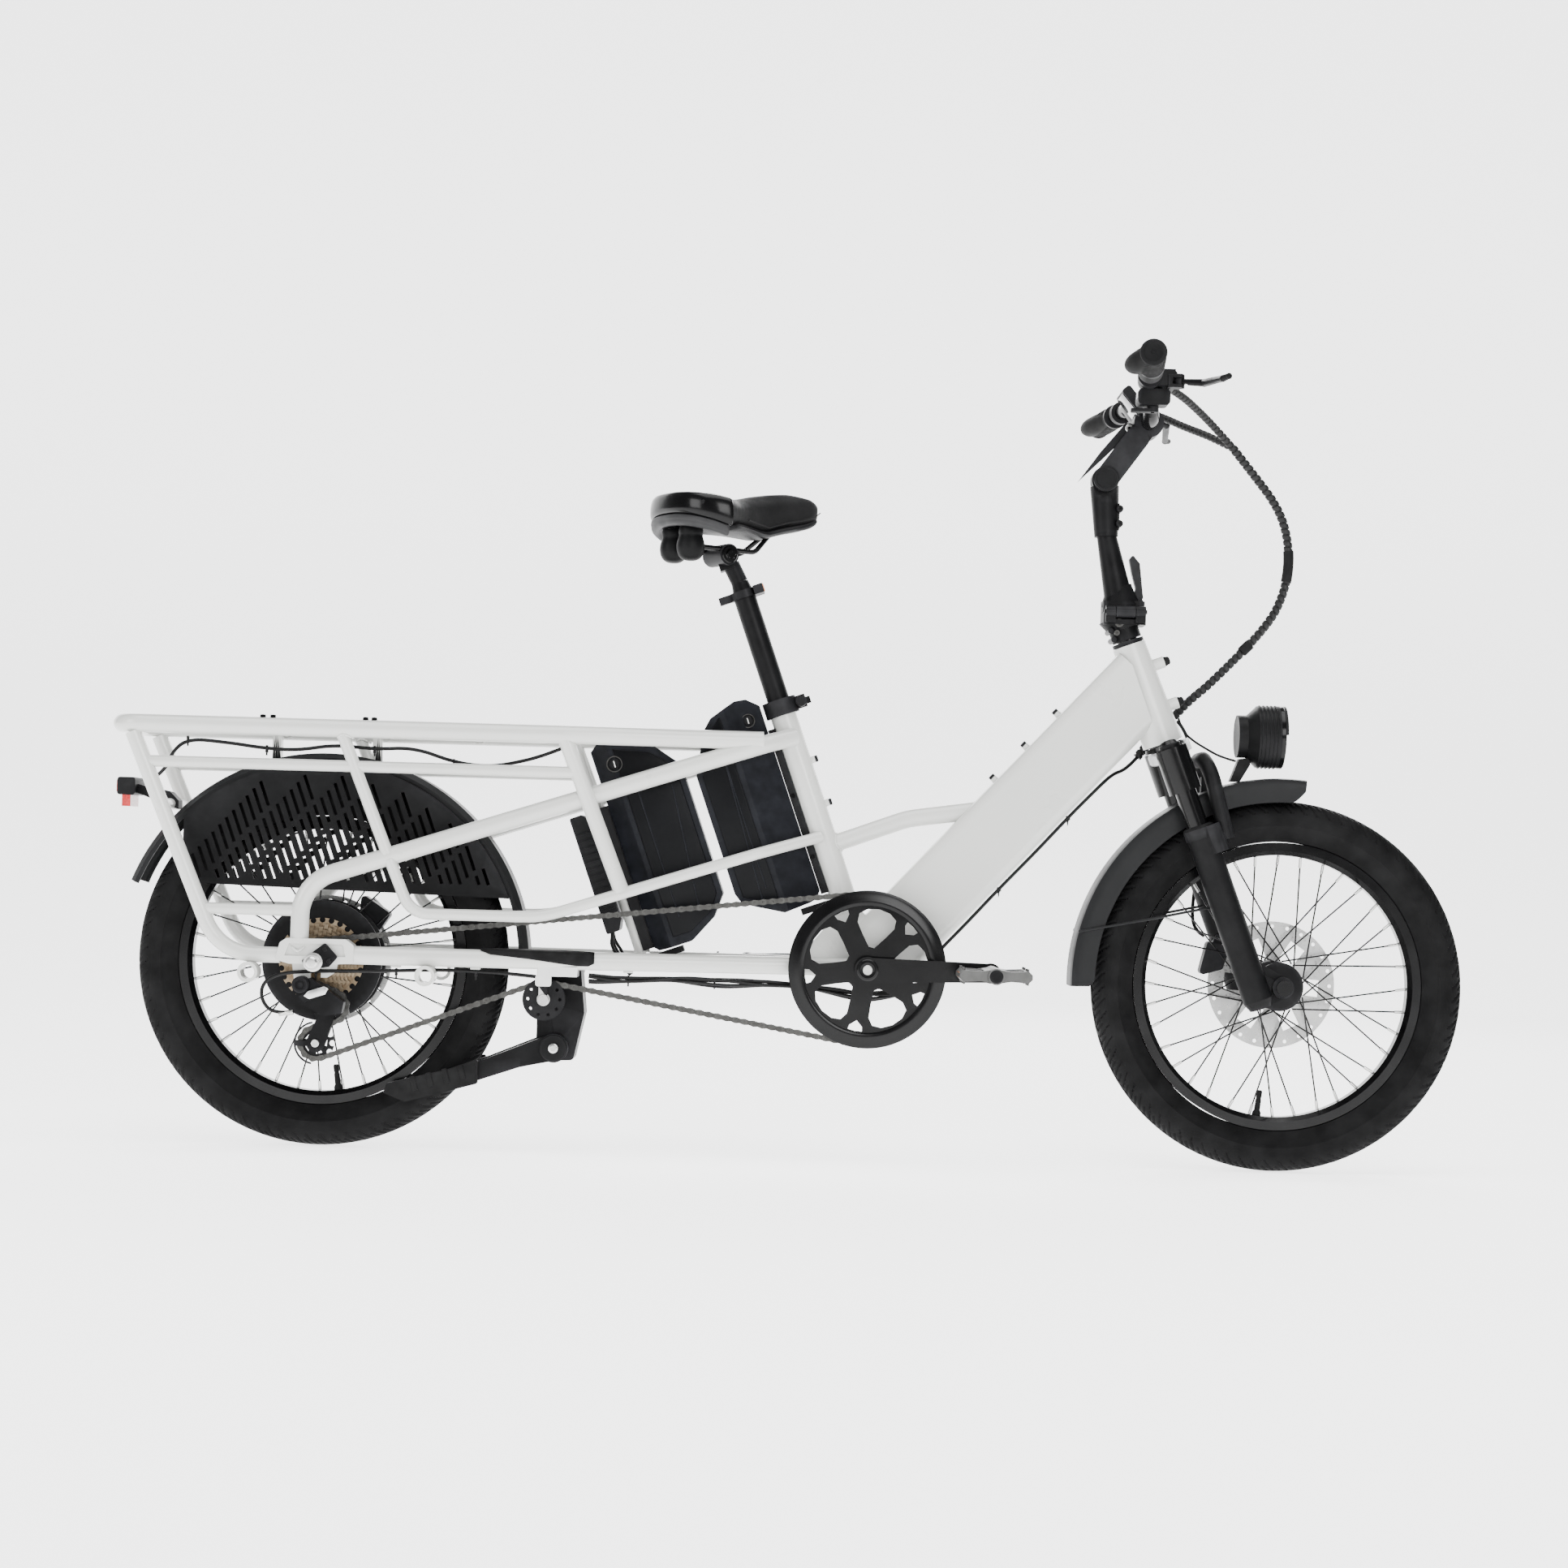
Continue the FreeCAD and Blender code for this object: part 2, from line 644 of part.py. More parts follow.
def build_rim(label, centre):
    """Box-section rim with a bead channel, drilled for its nipples."""
    width = "Sizes.rim_half_width"
    outline = [("Sizes.rim_inner_radius", f"-{width} * 0.55"),
               ("Sizes.rim_inner_radius", f"{width} * 0.55"),
               ("Sizes.rim_inner_radius + 6", width),
               ("Sizes.rim_bead_radius - 0.2", width),
               ("Sizes.rim_bead_radius - 0.2", f"{width} - 3"),
               ("Sizes.rim_inner_radius + 7", f"{width} - 8"),
               ("Sizes.rim_inner_radius + 7", f"8 - {width}"),
               ("Sizes.rim_bead_radius - 0.2", f"3 - {width}"),
               ("Sizes.rim_bead_radius - 0.2", f"-{width}"),
               ("Sizes.rim_inner_radius + 6", f"-{width}")]
    return register(Turning(label).revolve(outline).body, label, centre)


def build_spokes(label, centre, hub_radius, hub_y, cross_degrees):
    """Crossed spokes with their nipples, from both hub flanges to the rim."""
    spokes = []
    pairs = int(cell("spoke_pairs"))
    reach = cell("rim_inner_radius")
    for side in (-1, 1):
        for index in range(pairs):
            base = (index + 0.25 * (side > 0)) * 360 / pairs
            for lean in (-1, 1):
                hub_turn = math.radians(base + lean * cross_degrees)
                rim_turn = math.radians(base + lean * 90 / pairs)
                start = Vector(math.cos(hub_turn) * hub_radius, side * hub_y + lean * 1.6,
                               math.sin(hub_turn) * hub_radius)
                end = Vector(math.cos(rim_turn) * reach, side * 3, math.sin(rim_turn) * reach)
                run = (end - start).normalize()
                spoke = rod(start, end - run * 0.6, cell("spoke_radius"))
                nipple = rod(end - run * 14, end - run * 0.6, 2.1)
                spokes.append(spoke.fuse(nipple).removeSplitter())
    return feature(label, Part.makeCompound(spokes), centre)


def rotor(name, at):
    """Ventilated brake disc; its windows repeat about the axle."""
    half = "Sizes.rotor_thickness / 2"
    disc = Turning(name).revolve([("20", f"-{half}"), ("Sizes.rotor_radius", f"-{half}"),
                                  ("Sizes.rotor_radius", half), ("20", half)])
    disc.windows([("34", "-12"), ("66", "-16"), ("68", "8"), ("36", "10")], 6)
    disc.holes("Sizes.rotor_radius - 7", "0", "2.6", 24)
    disc.body.Placement = Placement(at, Rotation())
    return disc.body


def hub_shell(name, bore, outline):
    """Hub body of revolution; outline is (radius, depth) from one end to the other."""
    corners = [(bore, outline[0][1])] + outline + [(bore, outline[-1][1])]
    return Turning(name).revolve(corners).body


def build_front_hub():
    flange = "Sizes.front_flange_radius"
    shell = hub_shell("front_hub_shell", "Sizes.front_axle_radius + Sizes.running_gap", [
        ("13", "-48.5"), ("16", "-40"), (flange, "-34"), (flange, "-30"), ("16", "-26"),
        ("16", "20"), (flange, "24"), (flange, "28"), ("24", "31"), ("24", "37"), ("19.9", "37"),
        ("19.9", "42"), ("13", "48.5")])
    disc = rotor("front_rotor", Vector(0, cell("rotor_y"), 0))
    return group("front_hub", [shell, disc], FRONT)


def build_hub_motor():
    radius = "Sizes.motor_radius"
    half = "Sizes.motor_half_width"
    shell = hub_shell("motor_shell", "Sizes.rear_axle_radius + Sizes.running_gap", [
        ("60", f"-{half} + 5"),
        (radius, f"-{half} + 6"), (radius, f"-{half} + 10"), (f"{radius} - 6", f"-{half} + 12"),
        (f"{radius} - 6", f"{half} - 12"), (radius, f"{half} - 10"), (radius, f"{half} - 6"),
        ("60", f"{half} - 3"), ("24", f"{half} + 2"), ("24", f"{half} + 7"),
        ("19.9", f"{half} + 7"), ("19.9", f"{half} + 12"), ("16", f"{half} + 26")])
    disc = rotor("rear_rotor", Vector(0, cell("rotor_y"), 0))
    return group("hub_motor", [shell, disc], REAR)


build_tyre("front_tyre", FRONT)
build_tyre("rear_tyre", REAR)
build_rim("front_rim", FRONT)
build_rim("rear_rim", REAR)
build_spokes("front_spokes", FRONT, 36, 31, 58)
build_spokes("rear_spokes", REAR, 85.6, 21, 14)
build_front_hub()
build_hub_motor()


def build_front_axle():
    shaft = cross_rod(FRONT, cell("front_axle_radius"), -76, 76)
    caps = [cross_rod(FRONT, 11, -82, -76), cross_rod(FRONT, 11, 76, 82)]
    return joined([shaft] + caps)


def build_rear_axle():
    """Motor axle with its acorn nuts and torque plates."""
    shaft = cross_rod(REAR, cell("rear_axle_radius"), -112, 112)
    pieces = [shaft]
    for side in (-1, 1):
        low, high = span(side, 101, 116)
        pieces.append(cross_rod(REAR, 10, low, high))
        low, high = span(side, 61.5, 69)
        pieces.append(cross_rod(REAR, 12, low, high))
        low, high = span(side, 101, 105)
        plate = panel([(-664, 250), (-672, 262), (-640, 287), (-622, 268), (-634, 254)], low, high)
        pieces.append(softened(plate, Y_AXIS, 3))
    return joined(pieces)


feature("front_axle", build_front_axle())
feature("rear_axle", build_rear_axle().cut(side_frame).cut(mirrored(side_frame)))
doc.recompute()


# ------------------------------------------------------------- fork and front end

def leg(y, below_start, below_end, radius):
    """Straight round piece along one fork leg."""
    return rod(on_steer(below_start, 0, y), on_steer(below_end, 0, y), radius)


CROWN_TOP = 149
SOCKET_END = 219
LOWER_TOP = 274
LOWER_END = 538


def build_headset():
    """Bearing cups pressed in both ends of the head tube."""
    bore = cell("steerer_radius") + cell("running_gap")
    upper = rod(on_steer(-6), on_steer(12), 20).fuse(rod(on_steer(-6), on_steer(-1), 22.5))
    lower = rod(on_steer(136), on_steer(148), 24)
    cups = [cup.cut(rod(on_steer(-10), on_steer(160), bore)) for cup in (upper, lower)]
    return Part.makeCompound(cups)


def build_fork_upper():
    """Steerer, crown and both stanchions."""
    leg_y = cell("fork_leg_y")
    steerer = rod(on_steer(-30), on_steer(CROWN_TOP), cell("steerer_radius"))
    race = cone(on_steer(CROWN_TOP), on_steer(CROWN_TOP + 6), 27, 29)
    bridge = upright_box(on_steer(165), STEER_UP, STEER_FRONT, 11, 21, leg_y)
    bridge = softened(bridge, Y_AXIS, 7)
    pieces = [steerer, race, bridge]
    for side in (-1, 1):
        y = side * leg_y
        pieces.append(leg(y, 156, SOCKET_END, 23))
        shoulder = cone(on_steer(150, 0, y * 0.8), on_steer(176, 0, y), 14, 22)
        pieces.append(shoulder)
        pieces.append(leg(y, SOCKET_END, 455, cell("stanchion_radius")))
    return joined(pieces)


def build_fork_lowers():
    """Both sliders, the arch in front of the stanchions and the dropouts."""
    leg_y = cell("fork_leg_y")
    bore = cell("stanchion_radius") + cell("running_gap")
    outer = []
    bores = []
    for side in (-1, 1):
        y = side * leg_y
        outer.append(leg(y, LOWER_TOP, LOWER_END - 12, 20.5))
        outer.append(cone(on_steer(LOWER_END - 12, 0, y), on_steer(LOWER_END, 0, y), 20.5, 15))
        outer.append(leg(y, LOWER_TOP, LOWER_TOP + 14, 22))
        low, high = span(side, 50.5, 59.5)
        plate = panel([(FRONT.x - 58, 268), (FRONT.x - 46, 300), (FRONT.x + 2, 276),
                       (FRONT.x + 15, 262), (FRONT.x + 8, 248), (FRONT.x - 20, 232),
                       (FRONT.x - 48, 236)], low, high)
        outer.append(softened(plate, Y_AXIS, 5))
        rib = panel([(FRONT.x - 50, 262), (FRONT.x - 50, 292), (FRONT.x - 12, 270),
                     (FRONT.x - 16, 256)], *span(side, 50.5, 66))
        outer.append(rib)
        low, high = span(side, 50.5, 70)
        outer.append(cross_rod(FRONT, 15, low, high))
        bores.append(leg(y, LOWER_TOP - 5, 508, bore))
    arch = [on_steer(300, 33, -leg_y), on_steer(205, 43, -leg_y + 4), on_steer(186, 43, -26),
            on_steer(186, 43, 26), on_steer(205, 43, leg_y - 4), on_steer(300, 33, leg_y)]
    band = bent_tube(arch, 11, [40, 22, 22, 40])
    web = [leg(side * leg_y, LOWER_TOP, LOWER_TOP + 40, 20.5).translated(STEER_FRONT * 12)
           for side in (-1, 1)]
    body = joined(outer + [band] + web)
    for void in bores + [cross_rod(FRONT, cell("front_axle_radius"), -90, 90)]:
        body = body.cut(void)
    clear = [leg(side * leg_y, 120, LOWER_TOP, 24.5) for side in (-1, 1)]
    tyre_room = cross_rod(FRONT, 274, -35, 35)
    for void in clear + [tyre_room]:
        body = body.cut(void)
    return body


def caliper(y):
    """Hydraulic caliper body straddling a rotor, drawn about the wheel's centre."""
    body = panel([(-104, 10), (-70, 20), (-60, 52), (-92, 60)], y - 7, y + 18)
    body = softened(body, Y_AXIS, 5)
    slot = block(Vector(-97, y - 1.6, -5), Vector(-50, y + 1.6, 75))
    return body.cut(slot).cut(cross_rod(Vector(0, 0, 0), 76, y - 1.6, y + 1.6))


def build_front_caliper():
    body = caliper(cell("rotor_y"))
    body = body.translated(FRONT)
    arm = panel([(590, 296), (606, 330), (618, 326), (612, 280)], 40, 62)
    piece = body.fuse(arm)
    piece = piece.cut(cross_rod(FRONT, 91, 36.4, 39.6))
    return piece.cut(fork_lowers).cut(leg(cell("fork_leg_y"), 120, LOWER_END, 20.5))


def build_rear_caliper():
    body = caliper(cell("rotor_y"))
    body.rotate(Vector(0, 0, 0), Y_AXIS, 110)
    body = body.translated(REAR)
    arm = panel([(-628, 286), (-592, 286), (-576, 326), (-598, 348)], 56, 75)
    piece = body.fuse(arm)
    piece = piece.cut(cross_rod(REAR, 91, 36.4, 39.6))
    return piece.cut(mirrored(side_frame))


def arc_strip(centre, radius, thickness, half_width, start, end):
    """Curved guard of shallow channel section between two angles about a wheel."""
    outer = [Vector(radius, -half_width * 0.72, 0), Vector(radius, half_width * 0.72, 0),
             Vector(radius - 7, half_width, 0), Vector(radius - 13, half_width, 0),
             Vector(radius - 13, half_width - thickness, 0),
             Vector(radius - 7 - thickness, half_width - thickness, 0),
             Vector(radius - thickness, half_width * 0.66, 0),
             Vector(radius - thickness, -half_width * 0.66, 0),
             Vector(radius - 7 - thickness, thickness - half_width, 0),
             Vector(radius - 13, thickness - half_width, 0), Vector(radius - 13, -half_width, 0),
             Vector(radius - 7, -half_width, 0)]
    face = Part.Face(Part.makePolygon(outer + outer[:1]))
    face.rotate(Vector(0, 0, 0), Y_AXIS, -start)
    strip = face.revolve(Vector(0, 0, 0), Vector(0, -1, 0), end - start)
    return strip.translated(centre)


def build_front_fender():
    """Curved guard with its wire stays and the tab under the arch."""
    strip = arc_strip(FRONT, cell("fender_radius") - 2, cell("fender_thickness"), 33, 84, 181)
    tab = block(Vector(572, -9, 520), Vector(584, 9, 551))
    tab = tab.cut(cross_rod(FRONT, 286, -40, 40)).cut(fork_lowers)
    pieces = [strip, tab]
    for side in (-1, 1):
        stay = [Vector(404, 36 * side, 330), Vector(500, 48 * side, 350),
                Vector(572, 52 * side, 366), Vector(606, 46 * side, 372)]
        wire = bent_tube(stay, 1.8, [60, 60])
        pieces.append(wire)
        bridge = cross_rod(Vector(404, 0, 330), 3, *span(side, 30, 38))
        pieces.append(bridge)
    legs = [leg(side * cell("fork_leg_y"), 120, LOWER_END, 20.5) for side in (-1, 1)]
    return joined(pieces).cut(fork_lowers).cut(legs[0]).cut(legs[1])


def build_rear_fender():
    strip = arc_strip(REAR, cell("fender_radius"), cell("fender_thickness"), 35, 0, 158.7)
    tabs = [block(Vector(-596, -9, 535), Vector(-584, 9, 580)),
            block(Vector(-737, -9, 525), Vector(-725, 9, 580))]
    tabs = [tab.cut(cross_rod(REAR, cell("fender_radius") - 2, -40, 40)) for tab in tabs]
    return joined([strip] + tabs).cut(cross_tubes)


def guard_slot(foot, length, y):
    """Slanted slot of a side panel, rising backwards from its foot."""
    lean = Vector(-0.342, 0, 0.940)
    across = Vector(lean.z, 0, -lean.x)
    centre = foot + lean * (length / 2)
    slot = upright_box(centre, lean, across, length / 2, cell("guard_slot_width") / 2, 6)
    return slot.translated(Vector(0, y, 0))


def build_wheel_guard(side):
    """Slotted side panel between the fender's rim and the chainstays."""
    y = cell("guard_y")
    thick = 2.5
    radius = cell("fender_radius") - 14
    trim = panel([(-960, -60), (-960, 600), (-852, 600), (-852, 364), (-340, 352), (-340, -60)],
                 y - 8, y + 10)
    plate = cross_rod(REAR, radius, y, y + thick).cut(trim)
    lip = ring(REAR, radius + 1, radius - 3, y - 5, y + thick).cut(trim)
    plate = plate.fuse(lip).removeSplitter()
    slots = []
    pitch = 13
    for column in range(-17, 26):
        x = REAR.x + column * pitch
        start = 8 + 11 * (column % 4)
        for row in range(5):
            low = start + row * 44 - 36
            foot = Vector(x, 0, 366) + Vector(-0.342, 0, 0.940) * max(low, 6)
            length = 36 - max(0, 6 - low)
            tip = foot + Vector(-0.342, 0, 0.940) * length
            if length > 9 and (tip - REAR).Length < radius - 10 and foot.x > -838:
                slots.append(guard_slot(foot, length, y))
    plate = plate.cut(Part.makeCompound(slots))
    return plate if side > 0 else mirrored(plate)


def build_headlight():
    """Finned lamp with a hood, its lens and the bracket on the fender."""
    shell = joined([Part.makeCone(30, 43, 14, Vector(634, 0, 610), Vector(1, 0, 0)),
                    Part.makeCylinder(43.5, 36, Vector(648, 0, 610), Vector(1, 0, 0)),
                    Part.makeCylinder(30, 14, Vector(621, 0, 610), Vector(1, 0, 0))])
    hood = Part.makeCylinder(44, 12, Vector(676, 0, 610), Vector(1, 0, 0)).cut(
        Part.makeCylinder(40.5, 20, Vector(674, 0, 610), Vector(1, 0, 0))).cut(
        block(Vector(670, -60, 550), Vector(700, 60, 612)))
    bowl = Part.makeCone(20, 38, 24, Vector(662, 0, 610), Vector(1, 0, 0))
    foot = panel([(612, 546), (626, 546), (640, 570), (640, 580), (624, 578)], -9, 9)
    housing = joined([shell, hood, foot]).cut(bowl)
    lens = Part.makeCylinder(38, 3, Vector(681, 0, 610), Vector(1, 0, 0))
    lens = lens.cut(shell.cut(bowl))
    housing = housing.cut(cross_rod(FRONT, cell("fender_radius") - 2, -40, 40))
    return Part.makeCompound([housing, lens])


fork_lowers = build_fork_lowers()
feature("headset_cups", build_headset())
feature("fork_upper", build_fork_upper())
feature("fork_lowers", fork_lowers)
feature("front_caliper", build_front_caliper())
feature("rear_caliper", build_rear_caliper())
feature("front_fender", build_front_fender())
feature("rear_fender", build_rear_fender())
feature("wheel_guards", Part.makeCompound([build_wheel_guard(1), build_wheel_guard(-1)]))
feature("headlight", build_headlight())
doc.recompute()


# -------------------------------------------------------------------- drive train

def pitch_radius(teeth):
    return cell("chain_pitch") / (2 * math.sin(math.pi / teeth))


CHAIN_Y = cell("chain_y")
RING_RADIUS = pitch_radius(cell("chainring_teeth"))
COG_RADIUS = pitch_radius(cell("small_cog_teeth"))
PULLEY_RADIUS = pitch_radius(cell("pulley_teeth"))
IDLER_RADIUS = 24
IDLER = Vector(-340.5, 0, 215.9)
GUIDE = Vector(-636, 0, 197)
TENSION = Vector(-655, 0, 146.6)
WHEELS = [(BRACKET, RING_RADIUS), (IDLER, -IDLER_RADIUS), (TENSION, PULLEY_RADIUS),
          (GUIDE, -PULLEY_RADIUS), (REAR, COG_RADIUS)]


def chain_runs(offset):
    """Straight runs of the chain, set off sideways; radii are negative where it turns left."""
    runs = []
    for (here, radius), (there, other) in zip(WHEELS, WHEELS[1:] + WHEELS[:1]):
        gap = there - here
        heading = math.atan2(gap.z, gap.x) - math.asin((radius - other) / gap.Length)
        left = Vector(-math.sin(heading), 0, math.cos(heading))
        runs.append((here + left * (radius + offset), there + left * (other + offset)))
    return runs


def chain_loop(offset, y):
    """Closed wire that runs round every wheel of the drive train."""
    runs = chain_runs(offset)
    edges = []
    for index, (start, end) in enumerate(runs):
        centre, radius = WHEELS[(index + 1) % len(WHEELS)]
        after = runs[(index + 1) % len(runs)][0]
        outward = ((end + after) * 0.5 - centre).normalize()
        if (end - centre).cross(after - centre).y * radius < 0:
            outward = outward * -1
        edges.append(Part.LineSegment(start, end).toShape())
        edges.append(Part.Arc(end, centre + outward * abs(radius + offset), after).toShape())
    return Part.Wire(edges).translated(Vector(0, y, 0))


def build_chain():
    """Two rows of side plates with pins between them along the free runs."""
    clear_end = 48
    pieces = []
    for low, high in ((-3.6, -2.6), (2.6, 3.6)):
        y = CHAIN_Y + low
        face = Part.Face([chain_loop(4, y), chain_loop(-4, y)], "Part::FaceMakerBullseye")
        pieces.append(face.extrude(Vector(0, high - low, 0)))
    for start, end in chain_runs(0):
        run = end - start
        count = int((run.Length - 2 * clear_end) / (4 * cell("chain_pitch")))
        for index in range(count + 1):
            if run.Length > 100:
                along = clear_end + index * 4 * cell("chain_pitch")
                at = start + run * (along / run.Length)
                pieces.append(cross_rod(at, 3, CHAIN_Y - 2.6, CHAIN_Y + 2.6))
    return joined(pieces)


def sprocket(name, teeth, thickness, bore):
    """Toothed disc about the origin: the roller seats repeat round its rim."""
    radius = pitch_radius(teeth)
    half = thickness / 2
    disc = Turning(name).revolve([(bore, f"-{half}"), (f"{radius + 2.6:.2f}", f"-{half}"),
                                  (f"{radius + 2.6:.2f}", f"{half}"), (bore, f"{half}")])
    return disc.holes(f"{radius:.3f}", "0", "4", int(teeth))


def turned_points(points, degrees):
    turn = math.radians(degrees)
    return [(f"{x * math.cos(turn) - z * math.sin(turn):.2f}",
             f"{x * math.sin(turn) + z * math.cos(turn):.2f}") for x, z in points]


def build_chainring():
    """Toothed ring, its five-petal spider and the guard ring outside the chain."""
    teeth = f"{RING_RADIUS + 2.6:.2f}"
    ring_body = Turning("chainring").revolve([
        ("Sizes.crank_spindle_radius", "-1.2"), ("Sizes.crank_spindle_radius", "1.2"),
        (teeth, "1.2"), (teeth, "-1.2"), ("97", "-1.2"), ("97", "-4.4"),
        ("Sizes.guard_radius", "-4.4"), ("Sizes.guard_radius", "-8"), ("89", "-8"),
        ("89", "-1.2")])
    ring_body.holes(f"{RING_RADIUS:.3f}", "0", "4", int(cell("chainring_teeth")))
    petal = [(31, -4), (31, 4), (47, 16), (62, 26), (74, 26), (82, 16), (85, 0),
             (82, -16), (74, -26), (62, -26), (47, -16)]
    ring_body.windows(turned_points(petal, 8), 5)
    between = [(72, 0), (80, -9), (86, -10), (87, 0), (86, 10), (80, 9)]
    ring_body.windows(turned_points(between, 44), 5)
    return register(ring_body.body, "chainring", BRACKET + Vector(0, CHAIN_Y, 0))


def link_plate(start, start_radius, end, end_radius, y0, y1):
    """Flat arm with round ends and straight tangent flanks."""
    run = (end - start).normalize()
    side = Vector(-run.z, 0, run.x)
    lean = (start_radius - end_radius) / (end - start).Length
    flank = math.sqrt(1 - lean * lean)
    corners = [start + run * (start_radius * lean) + side * (start_radius * flank),
               end + run * (end_radius * lean) + side * (end_radius * flank),
               end + run * (end_radius * lean) - side * (end_radius * flank),
               start + run * (start_radius * lean) - side * (start_radius * flank)]
    web = panel([(corner.x, corner.z) for corner in corners], y0, y1)
    return joined([web, cross_rod(start, start_radius, y0, y1), cross_rod(end, end_radius, y0, y1)])


def build_crank(side):
    """Crank arm with its threaded pedal spindle; the left one also holds the axle."""
    tip = BRACKET + Vector(-side * cell("crank_length"), 0, 0)
    low, high = span(side, 70, 84)
    arm = link_plate(BRACKET, 17, tip, 13, low, high)
    boss_start = 1.2 - CHAIN_Y if side < 0 else 60
    boss = cross_rod(BRACKET, 18, *span(side, boss_start, 84))
    eye = cross_rod(tip, 14, *span(side, 72, 88))
    spindle = cross_rod(tip, 4.5, *span(side, 86, 196))
    arm = joined([arm, boss, eye, spindle])
    axle_hole = cross_rod(BRACKET, cell("crank_spindle_radius"), -82, 82)
    arm = arm.cut(axle_hole)
    cap = cross_rod(BRACKET, 11, *span(side, 84, 86.5))
    arm = arm.fuse(cap).removeSplitter()
    if side > 0:
        axle = cross_rod(BRACKET, cell("crank_spindle_radius"), -82, 82)
        return Part.makeCompound([arm, axle])
    return arm


def build_pedal(side):
    """Alloy platform with open windows, traction pins and end reflectors."""
    tip = BRACKET + Vector(-side * cell("crank_length"), 0, 0)
    low, high = span(side, 96, 196)
    outline = [(-49, 3), (-44, 8), (-20, 6.5), (0, 10), (20, 6.5), (44, 8), (49, 3),
               (49, -3), (44, -8), (20, -6.5), (0, -10), (-20, -6.5), (-44, -8), (-49, -3)]
    body = panel([(tip.x + x, tip.z + z) for x, z in outline], low, high)
    tube = cross_rod(tip, 11, low - 4, high + 4)
    windows = []
    for x0, x1 in ((-40, -15), (15, 40)):
        for y0 in (low + 9, low + 54):
            windows.append(block(Vector(tip.x + x0, y0, tip.z - 20),
                                 Vector(tip.x + x1, y0 + 37, tip.z + 20)))
    pins = []
    for x in (-43, 43):
        for y in (low + 8, low + 30, low + 70, low + 92):
            foot = Vector(tip.x + x, y, tip.z - 11)
            pins.append(rod(foot, foot + Vector(0, 0, 22), 1.6))
    body = body.fuse(tube)
    for window in windows:
        body = body.cut(window)
    body = joined([body] + pins)
    return body.cut(cross_rod(tip, 4.5 + cell("running_gap"), low - 10, high + 10))


def build_cassette():
    """Seven sprockets on one carrier, smallest outside."""
    sprockets = []
    for index, teeth in enumerate((14, 16, 18, 20, 22, 24, 28)):
        wheel = sprocket(f"sprocket_{teeth}", teeth, 1.8, "16")
        shape = wheel.body.Shape.copy()
        shape.translate(Vector(0, CHAIN_Y + 5 * index, 0))
        sprockets.append(shape)
    bore = cell("rear_axle_radius") + cell("running_gap")
    carrier = ring(Vector(0, 0, 0), 18, bore, CHAIN_Y - 1.5, -26)
    return feature("cassette", joined([carrier] + sprockets), REAR)


def build_pulley(label, centre):
    bore = "3.5 + Sizes.running_gap"
    wheel = sprocket(label, cell("pulley_teeth"), 2.2, bore)
    wheel.windows([("8", "-2.5"), ("15", "-4.5"), ("15.5", "4.5"), ("8", "2.5")], 5)
    return register(wheel.body, label, centre + Vector(0, CHAIN_Y, 0))


def build_idler():
    """Grooved roller that keeps the chain off the kickstand."""
    wheel = Turning("chain_idler").revolve([
        ("5 + Sizes.running_gap", "-6.5"), ("29.5", "-6.5"), ("29.5", "-4.6"), ("19", "-4.6"),
        ("19", "4.6"), ("29.5", "4.6"), ("29.5", "6.5"), ("5 + Sizes.running_gap", "6.5")])
    wheel.holes("22.5", "0", "2.4", 10)
    return register(wheel.body, "chain_idler", IDLER + Vector(0, CHAIN_Y, 0))


def build_derailleur_cage():
    """Two cage plates joined by the pulley bolts."""
    outer = link_plate(GUIDE, 10, TENSION, 13, CHAIN_Y - 8, CHAIN_Y - 5.6)
    inner = link_plate(GUIDE, 10, TENSION, 12, CHAIN_Y + 5.6, CHAIN_Y + 7.6)
    guard = ring(TENSION, 30, 27.5, CHAIN_Y - 8, CHAIN_Y - 5.6)
    guard = guard.cut(block(Vector(-660, -80, 100), Vector(-600, -40, 200)))
    arm = panel([(-660, 150), (-684, 150), (-684, 142), (-660, 142)], CHAIN_Y - 8, CHAIN_Y - 5.6)
    bolts = [cross_rod(GUIDE, 3.5, CHAIN_Y - 11, CHAIN_Y + 9),
             cross_rod(TENSION, 3.5, CHAIN_Y - 11, CHAIN_Y + 9)]
    return joined([outer, inner, guard, arm] + bolts)


def build_derailleur():
    """Linkage between the hanger bolt and the cage, with its cover plate."""
    bolt = cross_rod(Vector(-673, 0, 228.2), 8, -84, -76)
    knuckle = cross_rod(Vector(-673, 0, 228.2), 12, -100, -84)
    link = panel([(-684, 232), (-676, 204), (-640, 186), (-616, 190), (-613, 206), (-636, 222),
                  (-660, 238)], -96, -74)
    link = softened(link, Y_AXIS, 3)
    pivot = cross_rod(Vector(-642, 0, 200), 13, -90, -68)
    cover = panel([(-676, 212), (-650, 226), (-640, 224), (-642, 214), (-668, 204)], -100, -96)
    body = joined([bolt, knuckle, link, pivot, softened(cover, Y_AXIS, 2)])
    return body.cut(side_frame).cut(derailleur_cage)


